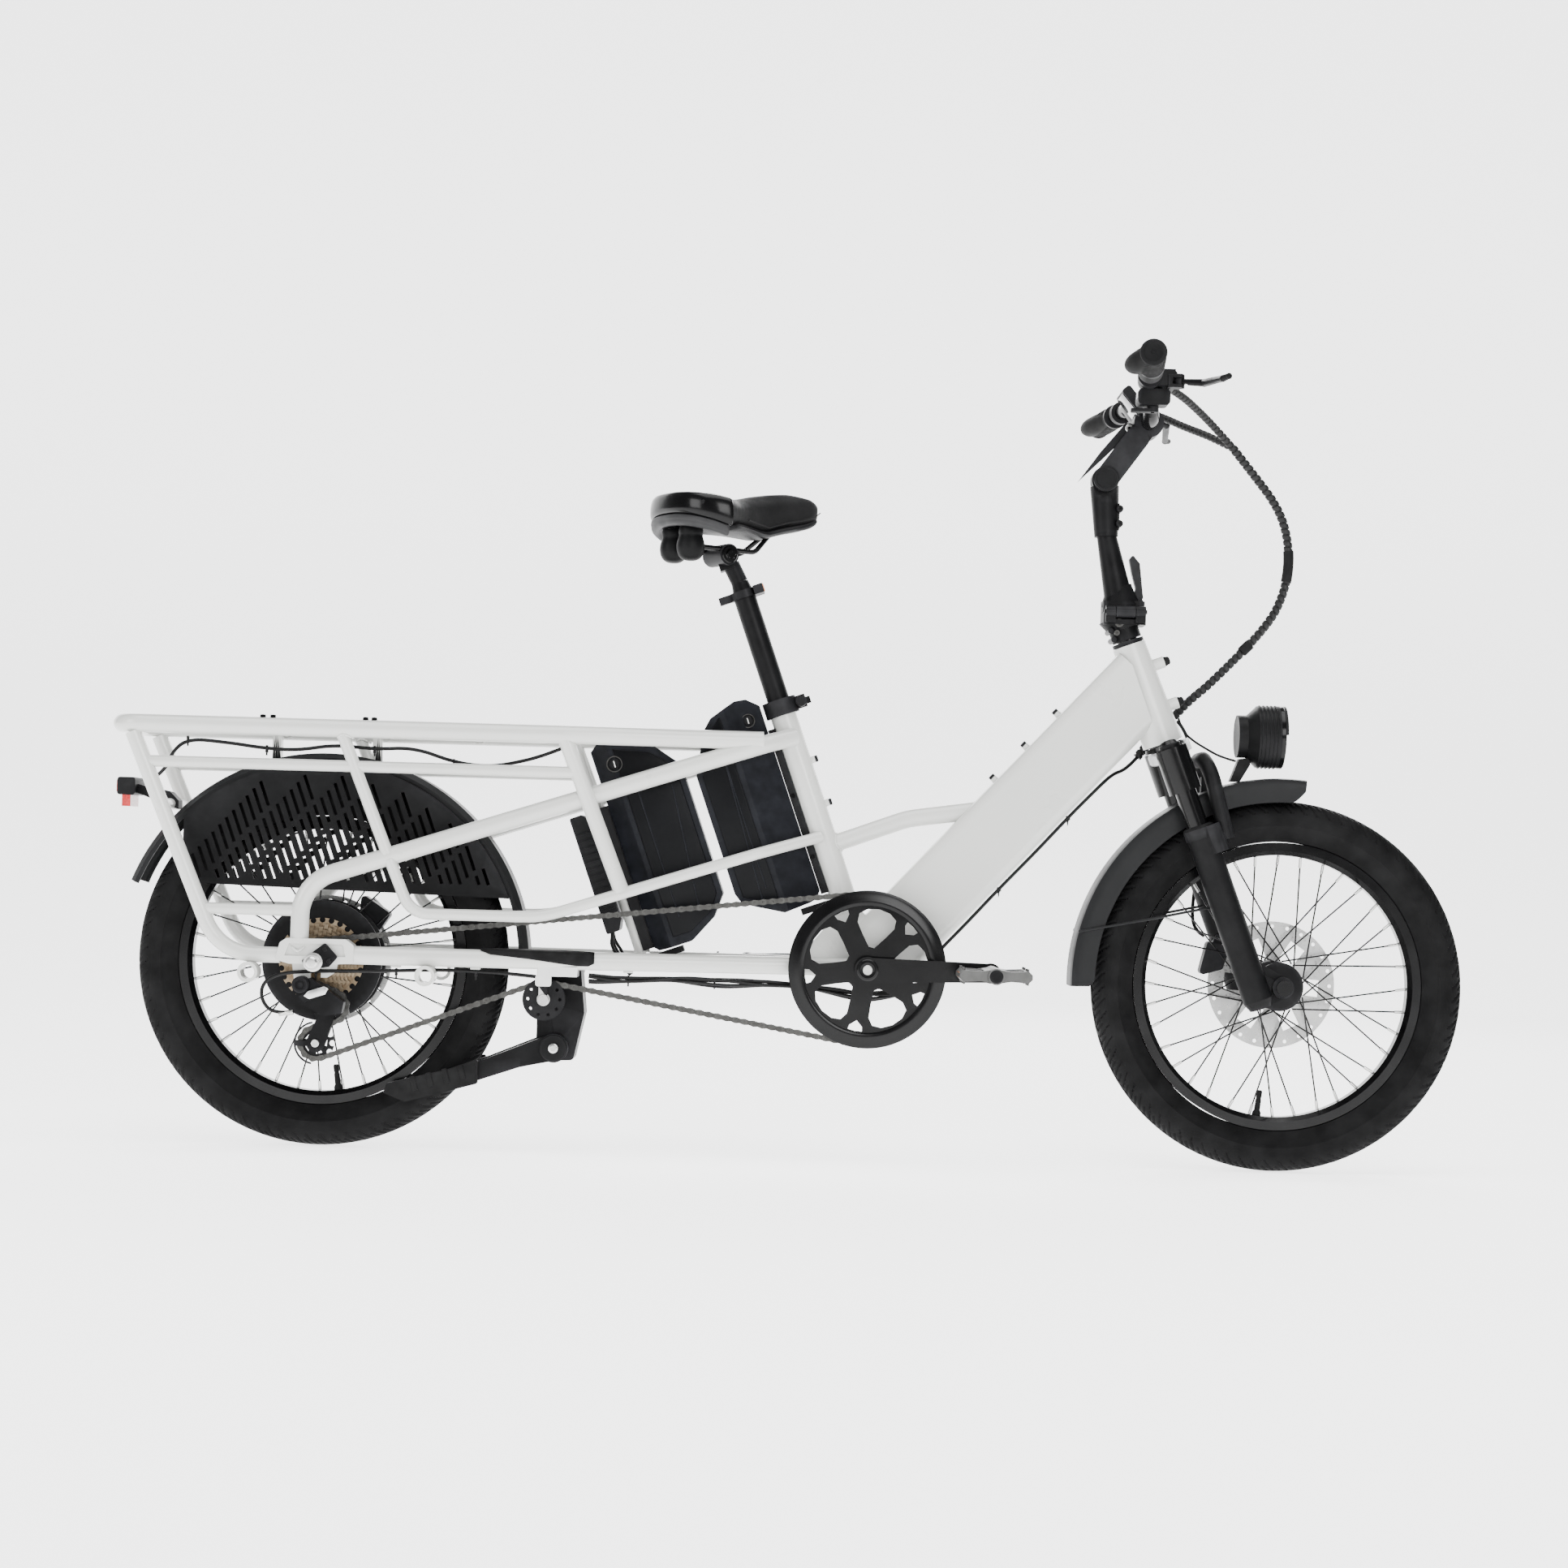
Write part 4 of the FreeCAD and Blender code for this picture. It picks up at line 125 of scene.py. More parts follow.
# the part of a noise texture's output that is used, and the pointiness of rubbed edges
NOISE_RANGE = (0.3, 0.7)
WORN_EDGES = (0.53, 0.6)


class Finish:
    """A procedural material that is built up step by step on one shader."""

    def __init__(self, name, color, roughness, metallic=0.0, **sockets):
        self.material = bpy.data.materials.new(name)
        self.material.use_nodes = True
        self.tree = self.material.node_tree
        self.shader = self.tree.nodes["Principled BSDF"]
        self.color = color
        self.feed(self.shader, {"Base Color": (*color, 1), "Roughness": roughness, "Metallic": metallic})
        self.feed(self.shader, {socket.replace("_", " "): value for socket, value in sockets.items()})
        self.place = self.node("ShaderNodeTexCoord").outputs["Object"]
        self.height = None

    def feed(self, node, inputs):
        """Sets a node's inputs, and links those whose value is another node's output."""
        for socket, value in inputs.items():
            if isinstance(value, bpy.types.NodeSocket):
                self.tree.links.new(value, node.inputs[socket])
            else:
                node.inputs[socket].default_value = value
        return node

    def node(self, kind, inputs=None, **settings):
        made = self.tree.nodes.new(kind)
        for name, value in settings.items():
            setattr(made, name, value)
        return self.feed(made, inputs or {})

    def noise(self, scale, detail=3.0, stretch=None):
        place = self.place
        if stretch:
            place = self.node("ShaderNodeMapping", {"Scale": stretch, "Vector": place}).outputs["Vector"]
        inputs = {"Scale": scale, "Detail": detail, "Vector": place}
        return self.node("ShaderNodeTexNoise", inputs).outputs["Fac"]

    def spread(self, source, start, end, low=0.0, high=1.0):
        """A value between start and end, carried over to low to high."""
        inputs = {"From Min": start, "From Max": end, "To Min": low, "To Max": high, "Value": source}
        return self.node("ShaderNodeMapRange", inputs).outputs["Result"]

    def tint(self, scale, amount, stretch=None, detail=4.0):
        """Uneven colour: the base colour made a little darker and lighter in patches."""
        low = [channel * (1 - amount) for channel in self.color]
        high = [min(1, channel * (1 + amount) + amount * 0.01) for channel in self.color]
        ramp = self.node("ShaderNodeValToRGB", {"Fac": self.noise(scale, detail, stretch)})
        for element, place, color in zip(ramp.color_ramp.elements, NOISE_RANGE, (low, high)):
            element.position = place
            element.color = (*color, 1)
        self.feed(self.shader, {"Base Color": ramp.outputs["Color"]})
        return self

    def polish(self, scale, low, high, stretch=None):
        """Uneven gloss between two roughness values."""
        gloss = self.spread(self.noise(scale, 4.0, stretch), *NOISE_RANGE, low, high)
        self.feed(self.shader, {"Roughness": gloss})
        return self

    def bump(self, source, distance, strength=1.0):
        """Adds a relief of the given depth in metres, on top of any earlier one."""
        inputs = {"Distance": distance, "Strength": strength, "Height": source}
        if self.height:
            inputs["Normal"] = self.height
        self.height = self.node("ShaderNodeBump", inputs).outputs["Normal"]
        self.feed(self.shader, {"Normal": self.height})
        return self

    def grain(self, scale, distance, strength=1.0, stretch=None):
        return self.bump(self.noise(scale, 2.0, stretch), distance, strength)

    def cells(self, scale, distance, strength=1.0):
        """Leather-like relief of small raised cells."""
        texture = self.node("ShaderNodeTexVoronoi", {"Scale": scale, "Vector": self.place},
            feature="DISTANCE_TO_EDGE")
        return self.bump(self.spread(texture.outputs["Distance"], 0, 0.25), distance, strength)

    def worn(self, color):
        """Bare or rubbed colour on convex edges, broken up by noise."""
        pointed = self.node("ShaderNodeNewGeometry").outputs["Pointiness"]
        patchy = self.node("ShaderNodeMath", {0: self.spread(pointed, *WORN_EDGES), 1: self.noise(60)},
            operation="MULTIPLY")
        base = self.shader.inputs["Base Color"]
        under = base.links[0].from_socket if base.links else (*self.color, 1)
        blend = self.node("ShaderNodeMix", {"A": under, "B": (*color, 1),
            "Factor": patchy.outputs["Value"]}, data_type="RGBA")
        self.feed(self.shader, {"Base Color": blend.outputs["Result"]})
        return self


def build_finishes():
    made = {
        "frame": Finish("frame_paint", (0.60, 0.605, 0.58), 0.3, Coat_Weight=0.6, Coat_Roughness=0.06)
            .tint(6, 0.015).polish(14, 0.26, 0.36).grain(900, 0.00002, 0.5),
        "black": Finish("satin_black", (0.0028, 0.0028, 0.0032), 0.42, Specular_IOR_Level=0.10)
            .tint(40, 0.2).polish(30, 0.36, 0.5).grain(1400, 0.00004, 0.6).worn((0.022, 0.022, 0.024)),
        "gloss_black": Finish("gloss_black", (0.0016, 0.0016, 0.0018), 0.2, Specular_IOR_Level=0.2)
            .tint(25, 0.2).polish(18, 0.12, 0.24).grain(700, 0.00002, 0.4),
        "steel": Finish("bare_steel", (0.60, 0.60, 0.585), 0.3, 1.0)
            .tint(30, 0.12).polish(60, 0.22, 0.42, (1, 6, 1)).grain(500, 0.00003, 0.5, (1, 8, 1)),
        "chain": Finish("chain_steel", (0.030, 0.029, 0.027), 0.5, 0.6, Specular_IOR_Level=0.3)
            .tint(160, 0.3).polish(200, 0.26, 0.5).grain(1200, 0.00003, 0.5).worn((0.10, 0.10, 0.095)),
        "bronze": Finish("cassette_steel", (0.17, 0.115, 0.065), 0.42, 0.85)
            .tint(120, 0.3).polish(90, 0.28, 0.5).grain(900, 0.00003, 0.5).worn((0.34, 0.28, 0.2)),
        "alloy": Finish("bare_alloy", (0.70, 0.70, 0.70), 0.34, 1.0)
            .tint(50, 0.08).polish(80, 0.26, 0.46).grain(800, 0.00004, 0.5),
        "pedal_alloy": Finish("pedal_alloy", (0.085, 0.085, 0.083), 0.46, 0.7)
            .tint(70, 0.12).polish(90, 0.34, 0.52).grain(900, 0.00004, 0.5),
        "dark_alloy": Finish("dark_alloy", (0.004, 0.004, 0.0044), 0.48, Specular_IOR_Level=0.10)
            .tint(30, 0.22).polish(26, 0.42, 0.56).grain(1600, 0.00005, 0.7).worn((0.024, 0.024, 0.026)),
        "rotor": Finish("rotor_steel", (0.42, 0.42, 0.415), 0.34, 1.0)
            .tint(20, 0.1).polish(240, 0.22, 0.42).grain(420, 0.00003, 0.6),
        "tyre": Finish("tyre_rubber", (0.0036, 0.0036, 0.0038), 0.6, Specular_IOR_Level=0.08)
            .tint(30, 0.3).polish(24, 0.52, 0.75).grain(900, 0.00008, 0.8),
        "stripe": Finish("reflective_stripe", (0.15, 0.153, 0.16), 0.4)
            .tint(200, 0.1).polish(300, 0.28, 0.45).cells(1100, 0.00005, 0.6),
        "rubber": Finish("soft_rubber", (0.005, 0.005, 0.0052), 0.62, Specular_IOR_Level=0.12)
            .tint(60, 0.25).polish(40, 0.56, 0.76).grain(1100, 0.00010, 0.8),
        "plastic": Finish("moulded_plastic", (0.0032, 0.0033, 0.0036), 0.46, Specular_IOR_Level=0.10)
            .tint(24, 0.2).polish(20, 0.40, 0.54).cells(1500, 0.00004, 0.5).worn((0.015, 0.015, 0.016)),
        "fender": Finish("fender_plastic", (0.0075, 0.0078, 0.0083), 0.42, Specular_IOR_Level=0.14)
            .tint(9, 0.14).polish(12, 0.36, 0.5).grain(1300, 0.00005, 0.5),
        "battery": Finish("battery_plastic", (0.0012, 0.0014, 0.0021), 0.34, Specular_IOR_Level=0.10)
            .tint(14, 0.2).polish(12, 0.30, 0.44).cells(1700, 0.00003, 0.4).worn((0.014, 0.015, 0.019)),
        "saddle": Finish("saddle_cover", (0.0045, 0.0045, 0.0048), 0.54, Specular_IOR_Level=0.14)
            .tint(22, 0.2).polish(30, 0.48, 0.66).cells(620, 0.00016, 0.7).grain(2200, 0.00004, 0.5),
        "jacket": Finish("cable_jacket", (0.003, 0.003, 0.0032), 0.4, Specular_IOR_Level=0.2)
            .tint(60, 0.25).polish(90, 0.34, 0.5).grain(1500, 0.00004, 0.5),
        "wrap": Finish("spiral_wrap", (0.004, 0.004, 0.0042), 0.42, Specular_IOR_Level=0.3)
            .tint(60, 0.25).polish(90, 0.42, 0.6).grain(1500, 0.00005, 0.5),
        "clear": Finish("clear_lens", (0.93, 0.94, 0.95), 0.06, Transmission_Weight=0.92, IOR=1.49)
            .tint(40, 0.02).polish(60, 0.03, 0.1).cells(260, 0.0002, 0.5),
        "mirror": Finish("lamp_mirror", (0.86, 0.86, 0.86), 0.1, 1.0)
            .tint(60, 0.04).polish(40, 0.06, 0.16).cells(150, 0.0004, 0.6),
        "amber": Finish("amber_reflector", (0.85, 0.20, 0.015), 0.16, Coat_Weight=0.9, Coat_Roughness=0.04)
            .tint(300, 0.25).polish(120, 0.1, 0.22).cells(420, 0.0004, 0.9),
        "red": Finish("red_reflector", (0.52, 0.012, 0.012), 0.16, Coat_Weight=0.9, Coat_Roughness=0.04)
            .tint(300, 0.25).polish(120, 0.1, 0.22).cells(420, 0.0004, 0.9),
        "white_reflector": Finish("white_reflector", (0.72, 0.73, 0.74), 0.14, 0.3,
            Coat_Weight=0.9, Coat_Roughness=0.04)
            .tint(300, 0.08).polish(120, 0.1, 0.2).cells(420, 0.0004, 0.9),
        "screen": Finish("screen_glass", (0.010, 0.011, 0.014), 0.08, Coat_Weight=1.0, Coat_Roughness=0.03)
            .tint(40, 0.2).polish(60, 0.05, 0.12).grain(900, 0.00001, 0.3),
        "white_cap": Finish("white_cap", (0.72, 0.72, 0.71), 0.4)
            .tint(60, 0.05).polish(40, 0.34, 0.48).grain(1200, 0.00005, 0.5),
        "grey_trim": Finish("grey_trim", (0.022, 0.022, 0.023), 0.5, Specular_IOR_Level=0.25)
            .tint(60, 0.12).polish(40, 0.44, 0.58).grain(1200, 0.00005, 0.5),
    }
    return {name: finish.material for name, finish in made.items()}


LOOKS = build_finishes()


# ---- mesh building


def frame_about(axis):
    """Two unit vectors square to an axis."""
    helper = Z_AXIS if abs(axis.normalized().z) < 0.9 else X_AXIS
    side = axis.cross(helper).normalized()
    return side, axis.cross(side).normalized()


def put(obj, look, body):
    bpy.context.scene.collection.objects.link(obj)
    obj.data.materials.append(LOOKS[look])
    if isinstance(body, str):
        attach(obj, body)
    return obj


class Piece:
    """A mesh put together from turned, boxed, extruded and tube-like shells."""

    def __init__(self, name):
        self.name = name
        self.bm = bmesh.new()

    def vert(self, place):
        return self.bm.verts.new(place)

    def skin(self, rings, closed_ring=True, closed_run=False):
        """Faces between neighbouring rings of vertices; a ring of one vertex is a tip."""
        pairs = list(zip(rings, rings[1:]))
        if closed_run:
            pairs.append((rings[-1], rings[0]))
        for first, second in pairs:
            count = max(len(first), len(second))
            for index in range(count if closed_ring else count - 1):
                after = (index + 1) % count
                if len(first) == 1 and len(second) > 1:
                    self.bm.faces.new((first[0], second[after], second[index]))
                elif len(second) == 1 and len(first) > 1:
                    self.bm.faces.new((first[index], first[after], second[0]))
                elif len(first) > 1:
                    self.bm.faces.new((first[index], first[after], second[after], second[index]))
        return self

    def lathe(self, origin, axis, profile, steps=32, closed=False):
        """Turns (radius, height[, sides]) rows in millimetres; sides makes a row a polygon."""
        axis = axis.normalized()
        side, up = frame_about(axis)
        rings = []
        for row in profile:
            radius, height = (value / 1000 for value in row[:2])
            sides = row[2] if len(row) > 2 else 0
            centre = origin + axis * height
            if radius < 1e-7:
                rings.append([self.vert(centre)])
                continue
            ring = []
            for index in range(steps):
                angle = 2 * math.pi * index / steps
                reach = radius
                if sides:
                    part = angle % (2 * math.pi / sides) - math.pi / sides
                    reach = radius * math.cos(math.pi / sides) / math.cos(part)
                ring.append(self.vert(centre + (side * math.cos(angle) + up * math.sin(angle)) * reach))
            rings.append(ring)
        return self.skin(rings, closed_run=closed)

    def bolt(self, at_point, axis, radius, height):
        """Socket-head bolt, in millimetres, with a chamfered rim and a hexagonal recess."""
        deep = height * 0.45
        return self.lathe(at_point, axis, [(0, deep), (radius * 0.5, deep, 6),
            (radius * 0.5, height, 6), (radius * 0.56, height), (radius * 0.88, height),
            (radius, height - radius * 0.14), (radius, 0), (0, 0)], 24)

    def soften(self, faces, bevel, segments):
        """Bevels the edges of these faces, each taken once."""
        if bevel:
            edges = list(dict.fromkeys(edge for face in faces for edge in face.edges))
            bmesh.ops.bevel(self.bm, geom=edges, offset=bevel, segments=segments, affect="EDGES",
                profile=0.5)
        return self

    def box(self, centre, axes, halves, bevel=0.0, segments=2):
        corners = []
        for sx in (-1, 1):
            for sy in (-1, 1):
                for sz in (-1, 1):
                    corners.append(self.vert(centre + axes[0] * sx * halves[0] + axes[1] * sy *
                        halves[1] + axes[2] * sz * halves[2]))
        faces = [self.bm.faces.new([corners[i] for i in quad]) for quad in ((0, 1, 3, 2), (4, 6, 7, 5),
            (0, 4, 5, 1), (2, 3, 7, 6), (0, 2, 6, 4), (1, 5, 7, 3))]
        return self.soften(faces, bevel, segments)

    def prism(self, outline, depth, bevel=0.0, segments=2):
        """Flat outline of points, made thick along a vector, with rounded rims."""
        low = [self.vert(point) for point in outline]
        high = [self.vert(point + depth) for point in outline]
        faces = [self.bm.faces.new(low[::-1]), self.bm.faces.new(high)]
        for index in range(len(low)):
            after = (index + 1) % len(low)
            self.bm.faces.new((low[index], low[after], high[after], high[index]))
        return self.soften(faces, bevel, segments)

    def tube(self, points, radius, sides=12, closed=False, reach=None):
        """Tube along points; reach(index, angle) may vary the radius."""
        rings = []
        count = len(points)
        side = None
        for index, point in enumerate(points):
            before = points[index - 1] if index or closed else point
            after = points[(index + 1) % count] if index < count - 1 or closed else point
            heading = (after - before).normalized()
            side = frame_about(heading)[0] if side is None else (side - heading *
                side.dot(heading)).normalized()
            up = heading.cross(side)
            ring = []
            for step in range(sides):
                angle = 2 * math.pi * step / sides
                wide = reach(index, angle) if reach else radius
                ring.append(self.vert(point + (side * math.cos(angle) + up * math.sin(angle)) * wide))
            rings.append(ring)
        if not closed:
            rings.insert(0, [self.vert(points[0])])
            rings.append([self.vert(points[-1])])
        return self.skin(rings, closed_run=closed)

    def done(self, look, body, smooth=40, subdivide=0, slot=None):
        bmesh.ops.recalc_face_normals(self.bm, faces=self.bm.faces[:])
        mesh = bpy.data.meshes.new(self.name)
        self.bm.to_mesh(mesh)
        self.bm.free()
        mesh.shade_smooth()
        mesh.set_sharp_from_angle(angle=math.radians(smooth))
        obj = put(bpy.data.objects.new(self.name, mesh), look, body)
        if subdivide:
            modifier = obj.modifiers.new("subdivision", "SUBSURF")
            modifier.levels = modifier.render_levels = subdivide
        return obj


def turned(name, place, axis, profile, look, body, steps=36, smooth=30, closed=False, slot=None):
    return Piece(name).lathe(place, axis, profile, steps, closed).done(look, body, smooth, 0, slot)


# ---- cords

HARNESS_LOWER = [at(486, 38, 578), at(510, 42, 610), at(534, 34, 634), at(556, 20, 660),
    at(586, 8, 686), at(631.5, 0, 735.5)]
HARNESS_LOOP = [at(632.8, 0, 736.9), at(664, 0, 771), at(684, 0, 816), at(690, 0, 860), at(684, 0, 905),
    at(668, -2, 940), at(641, -4, 974), at(605, -8, 1016.6)]
HARNESS_RIGHT = [at(605, -8, 1016.6), at(578, -22, 1042), at(548, -54, 1062), at(518, -90, 1078),
    at(493, -112, 1086)]
HARNESS_LEFT = [at(605, -8, 1016.6), at(574, 14, 1036), at(546, 50, 1052), at(516, 86, 1072),
    at(493, 112, 1084)]
UNDERSIDE = [on_down(30, -70), on_down(75, -57), on_down(140, -58), on_down(210, -57),
    on_down(280, -58), on_down(350, -57), on_down(410, -58), on_down(440, -60, 12), at(470, 30, 560),
    at(486, 38, 578)]
TAIL_CABLE = [at(-905, -20, 505), at(-880, -40, 520), at(-868, -60, 545), at(-845, -66, 564),
    at(-790, -66, 560), at(-735, -66, 553), at(-690, -64, 552), at(-640, -66, 561), at(-585, -66, 556),
    at(-530, -66, 560), at(-475, -64, 541), at(-425, -62, 536), at(-380, -62, 545), at(-345, -64, 556),
    at(-322, -66, 566)]
GEAR_CABLE = [at(-684, -85, 190), at(-712, -84, 186), at(-730, -82, 206), at(-728, -81, 230),
    at(-704, -80.5, 243), at(-655, -80, 247), at(-600, -77, 248), at(-545, -72, 250),
    at(-490, -70, 253), at(-435, -68, 252), at(-385, -66, 250), at(-352, -70, 247)]
CENTRE_CABLE = [at(-280, -50, 249), at(-225, -44, 247), at(-165, -38, 249), at(-105, -32, 246),
    at(-45, -26, 248), at(15, -20, 244), at(70, -12, 236), at(118, -4, 230), on_down(30, -70)]
LAMP_CABLE = [at(541, 18, 634), at(546, 14, 617), at(560, 8, 603), at(580, 4, 591), at(600, 0, 580),
    at(621, 0, 575)]
FRONT_HOSE = [at(541, 26, 630), on_steer(150, 46, 46), on_steer(185, 34, 92), on_steer(240, 8, 96),
    on_steer(300, 2, 92), on_steer(350, -8, 92), on_steer(392, -31, 76), on_steer(415, -36, 60),
    at(590, 54, 326)]


def smooth_route(points):
    """Curve of one NURBS spline with the route's points as its control points."""
    curve = bpy.data.curves.new("route", "CURVE")
    curve.dimensions = "3D"
    curve.resolution_u = 16
    spline = curve.splines.new("NURBS")
    spline.points.add(len(points) - 1)
    for target, point in zip(spline.points, points):
        target.co = (*point, 1)
    spline.order_u = 3
    spline.use_endpoint_u = True
    return curve


def spaced(path, wanted):
    """Points on a polyline at the wanted distances from its start, in rising order."""
    found = []
    run = 0
    place = 0
    for want in wanted:
        while place < len(path) - 2 and run + (path[place + 1] - path[place]).length < want:
            run += (path[place + 1] - path[place]).length
            place += 1
        piece = path[place + 1] - path[place]
        found.append(path[place] + piece * min(1, (want - run) / max(piece.length, 1e-9)))
    return found


def followed(points, step):
    """Evenly spaced points along the smooth route, read from its spline."""
    line = bpy.data.objects.new("route", smooth_route(points))
    bpy.context.scene.collection.objects.link(line)
    bpy.context.view_layer.update()
    mesh = bpy.data.meshes.new_from_object(line)
    coords = [vertex.co.copy() for vertex in mesh.vertices]
    bpy.data.objects.remove(line)
    bpy.data.meshes.remove(mesh)
    total = sum((b - a).length for a, b in zip(coords, coords[1:]))
    count = max(2, round(total / step))
    wanted = [total * index / count for index in range(count + 1)]
    return spaced(coords, wanted)


def cable(name, points, radius, bodies, blend=None):
    """Plain cable; with blend given it goes on no body and is baked in place; blend's stretch is not used.
    """
    piece = Piece(name).tube(followed(points, 0.004), radius, 12)
    obj = piece.done("jacket", None if blend else bodies)
    if blend:
        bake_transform(obj)
    return obj


def wrapped_cable(name, points, radius, pitch=0.0088):
    """Bundle inside a spiral wrap: rounded bands with a deep winding gap between them."""
    step = 0.0008
    line = followed(points, step)

    def reach(index, angle):
        turn = (index * step / pitch + angle / (2 * math.pi)) % 1
        band = abs(2 * (turn - 0.5))
        return radius * (1.06 - 0.10 * band ** 3 - (0.22 if band > 0.74 else 0))

    piece = Piece(name).tube(line, radius, 24, reach=reach)
    obj = piece.done("wrap", None)
    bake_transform(obj)
    return obj


def build_cords():
    lower = wrapped_cable("harness_lower", HARNESS_LOWER, 0.006)
    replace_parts(lower, "frame_cables")
    loop = wrapped_cable("harness_loop", HARNESS_LOOP, 0.006)
    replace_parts(loop, "steering_harness")
    for name, points in (("right", HARNESS_RIGHT), ("left", HARNESS_LEFT)):
        wrapped_cable(f"harness_{name}", points, 0.0052,
            0.0080)
    cable("underside_cable", UNDERSIDE, 0.0025, "frame")
    cable("tail_cable", TAIL_CABLE, 0.0025, "frame")
    cable("gear_cable", GEAR_CABLE, 0.0025, "frame")
    cable("centre_cable", CENTRE_CABLE, 0.0025, "frame")
    cable("lamp_cable", LAMP_CABLE, 0.0016, ("steerer", "fork_sliders"),
        blend=(at(541, 18, 634), at(610, 0, 578)))
    hose = cable("front_hose", FRONT_HOSE, 0.0025, ("steerer", "fork_sliders"),
        blend=(at(541, 26, 630), at(590, 60, 360)))
    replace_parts(hose, "fork_cables")


build_cords()


# ---- finishes of the CAD parts

def dress(node, look, *others):
    """Gives a CAD node its finish; others are (look, test of a face's centre) pairs."""
    obj = NODES[node]
    obj.data.materials.clear()
    obj.data.materials.append(LOOKS[look])
    for index, (name, chosen) in enumerate(others, start=1):
        obj.data.materials.append(LOOKS[name])
        for face in obj.data.polygons:
            if chosen(face.center):
                face.material_index = index


def away(point, centre):
    return math.hypot(point.x - centre.x, point.z - centre.z)


PLAIN_LOOKS = {
    "frame": "main_frame side_frame_right side_frame_left rack_cross_tubes",
    "black": "seat_clamp seatpost headset_cups front_caliper rear_caliper hinge_base handlepost"
             " fold_lever stem stem_lever brake_lever_right brake_lever_left derailleur",
    "gloss_black": "saddle_frame front_rim rear_rim front_axle fork_upper handlebar chainring"
                   " crank_arm_right crank_arm_left",
    "dark_alloy": "fork_lowers",
    "fender": "front_fender",
    "plastic": "wheel_guards control_pods shift_trigger guide_pulley tension_pulley chain_idler"
               " battery_docks",
    "rubber": "throttle",
    "pedal_alloy": "pedal_right pedal_left",
    "bronze": "cassette",
    "battery": "front_battery rear_battery",
}
IDLER = at(-340.5, 0, 215.9)
LENS_X = at(680.5, 0, 0).x
TAIL_X = at(-930, 0, 0).x
NIPPLE_RADIUS = 0.1695
CHAIN_Y = -0.059


def away_x(point):
    """Distance from the headlight's own axis."""
    return math.hypot(point.y, point.z - 0.610)


def dress_all():
    for look, nodes in PLAIN_LOOKS.items():
        for node in nodes.split():
            dress(node, look)
    dress("kickstand_bracket", "black", ("white_cap", lambda p: p.y < -0.0722 and p.z > 0.2335),
        ("steel", lambda p: p.y < -0.0665 and away(p, IDLER) < 0.0095))
    dress("kickstand_legs", "black", ("rubber", lambda p: abs(p.y) > 0.0512 and p.x < -0.42))
    dress("rear_axle", "steel",
        ("black", lambda p: 0.1005 < abs(p.y) < 0.1055 and away(p, REAR) > 0.0105))
    dress("front_spokes", "gloss_black", ("steel", lambda p: away(p, FRONT) > NIPPLE_RADIUS))
    dress("rear_spokes", "gloss_black", ("steel", lambda p: away(p, REAR) > NIPPLE_RADIUS))
    for node in ("front_hub", "hub_motor"):
        dress(node, "dark_alloy", ("rotor", lambda p: 0.0369 < p.y < 0.0391))
    dress("rear_fender", "fender", ("frame", lambda p: p.z > 0.5535 and abs(p.y) < 0.0095))
    dress("headlight", "plastic", ("clear", lambda p: p.x > LENS_X and away_x(p) < 0.0381))
    dress("tail_light", "plastic", ("red", lambda p: p.z < 0.4845 and p.x < TAIL_X))


dress_all()


# ---- tyres

def tread_depth(around, across):
    """How far the rubber is cut away between slanted tread blocks; across is -1 to 1."""
    pitch = around * 84
    side = abs(across)
    if side < 0.34:
        lane = (pitch + across * 1.6) % 1
        groove = lane < 0.20 and side > 0.07
        centre_line = abs(side - 0.2) < 0.034 and (pitch * 0.5) % 1 < 0.72
        return 0.0024 if groove or centre_line else 0
    if side < 0.97:
        lane = (pitch + (side - 0.34) * 1.5 + (0.25 if across > 0 else 0)) % 1
        cut = lane < 0.24 or abs(lane - 0.62) < 0.07 and side < 0.72
        return 0.0032 if cut else 0
    return 0.0


TYRE_WRAP = math.radians(118)
TYRE_HALF = 0.0300
TYRE_CROWN = 0.0305
STRIPE = (0.0410, 0.0437)
SIDEWALL_RIDGES = (0.0345, 0.0485)


def build_tyre(end, centre):
    """Balloon tyre with block tread, moulded sidewall ridges and a reflective stripe."""
    outer = centre.z
    section = []
    for index in range(61):
        across = -1 + index / 30
        spin = across * TYRE_WRAP
        y = TYRE_HALF * math.copysign(abs(math.sin(min(abs(spin), math.pi / 2))) ** 0.94, across)
        if abs(spin) <= math.pi / 2:
            radius = outer - TYRE_CROWN * (1 - math.cos(spin) ** 0.72)
        else:
            part = (abs(spin) - math.pi / 2) / (TYRE_WRAP - math.pi / 2)
            radius = outer - TYRE_CROWN - 0.0265 * part
            y = math.copysign(TYRE_HALF - 0.0138 * part ** 1.5, across)
        section.append((across, radius, y))
    steps = 1008
    piece = Piece(f"{end}_tyre_detail")
    rings = []
    for step in range(steps):
        angle = 2 * math.pi * step / steps
        ray = Vector((math.cos(angle), 0, math.sin(angle)))
        ring = []
        for across, radius, y in section:
            tread = across / 0.60
            reach = radius
            if abs(tread) < 0.99:
                reach -= tread_depth(step / steps, tread)
            side = outer - radius
            if any(abs(side - ridge) < 0.0008 for ridge in SIDEWALL_RIDGES):
                y *= 1.03
            ring.append(piece.vert(Vector((centre.x, y, centre.z)) + ray * reach))
        rings.append(ring)
    piece.skin(rings, closed_ring=False, closed_run=True)
    tyre = piece.done("tyre", f"{end}_wheel", 28)
    tyre.data.materials.append(LOOKS["stripe"])
    for face in tyre.data.polygons:
        if outer - STRIPE[1] < away(face.center, centre) < outer - STRIPE[0]:
            face.material_index = 1
    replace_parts(tyre, f"{end}_tyre")


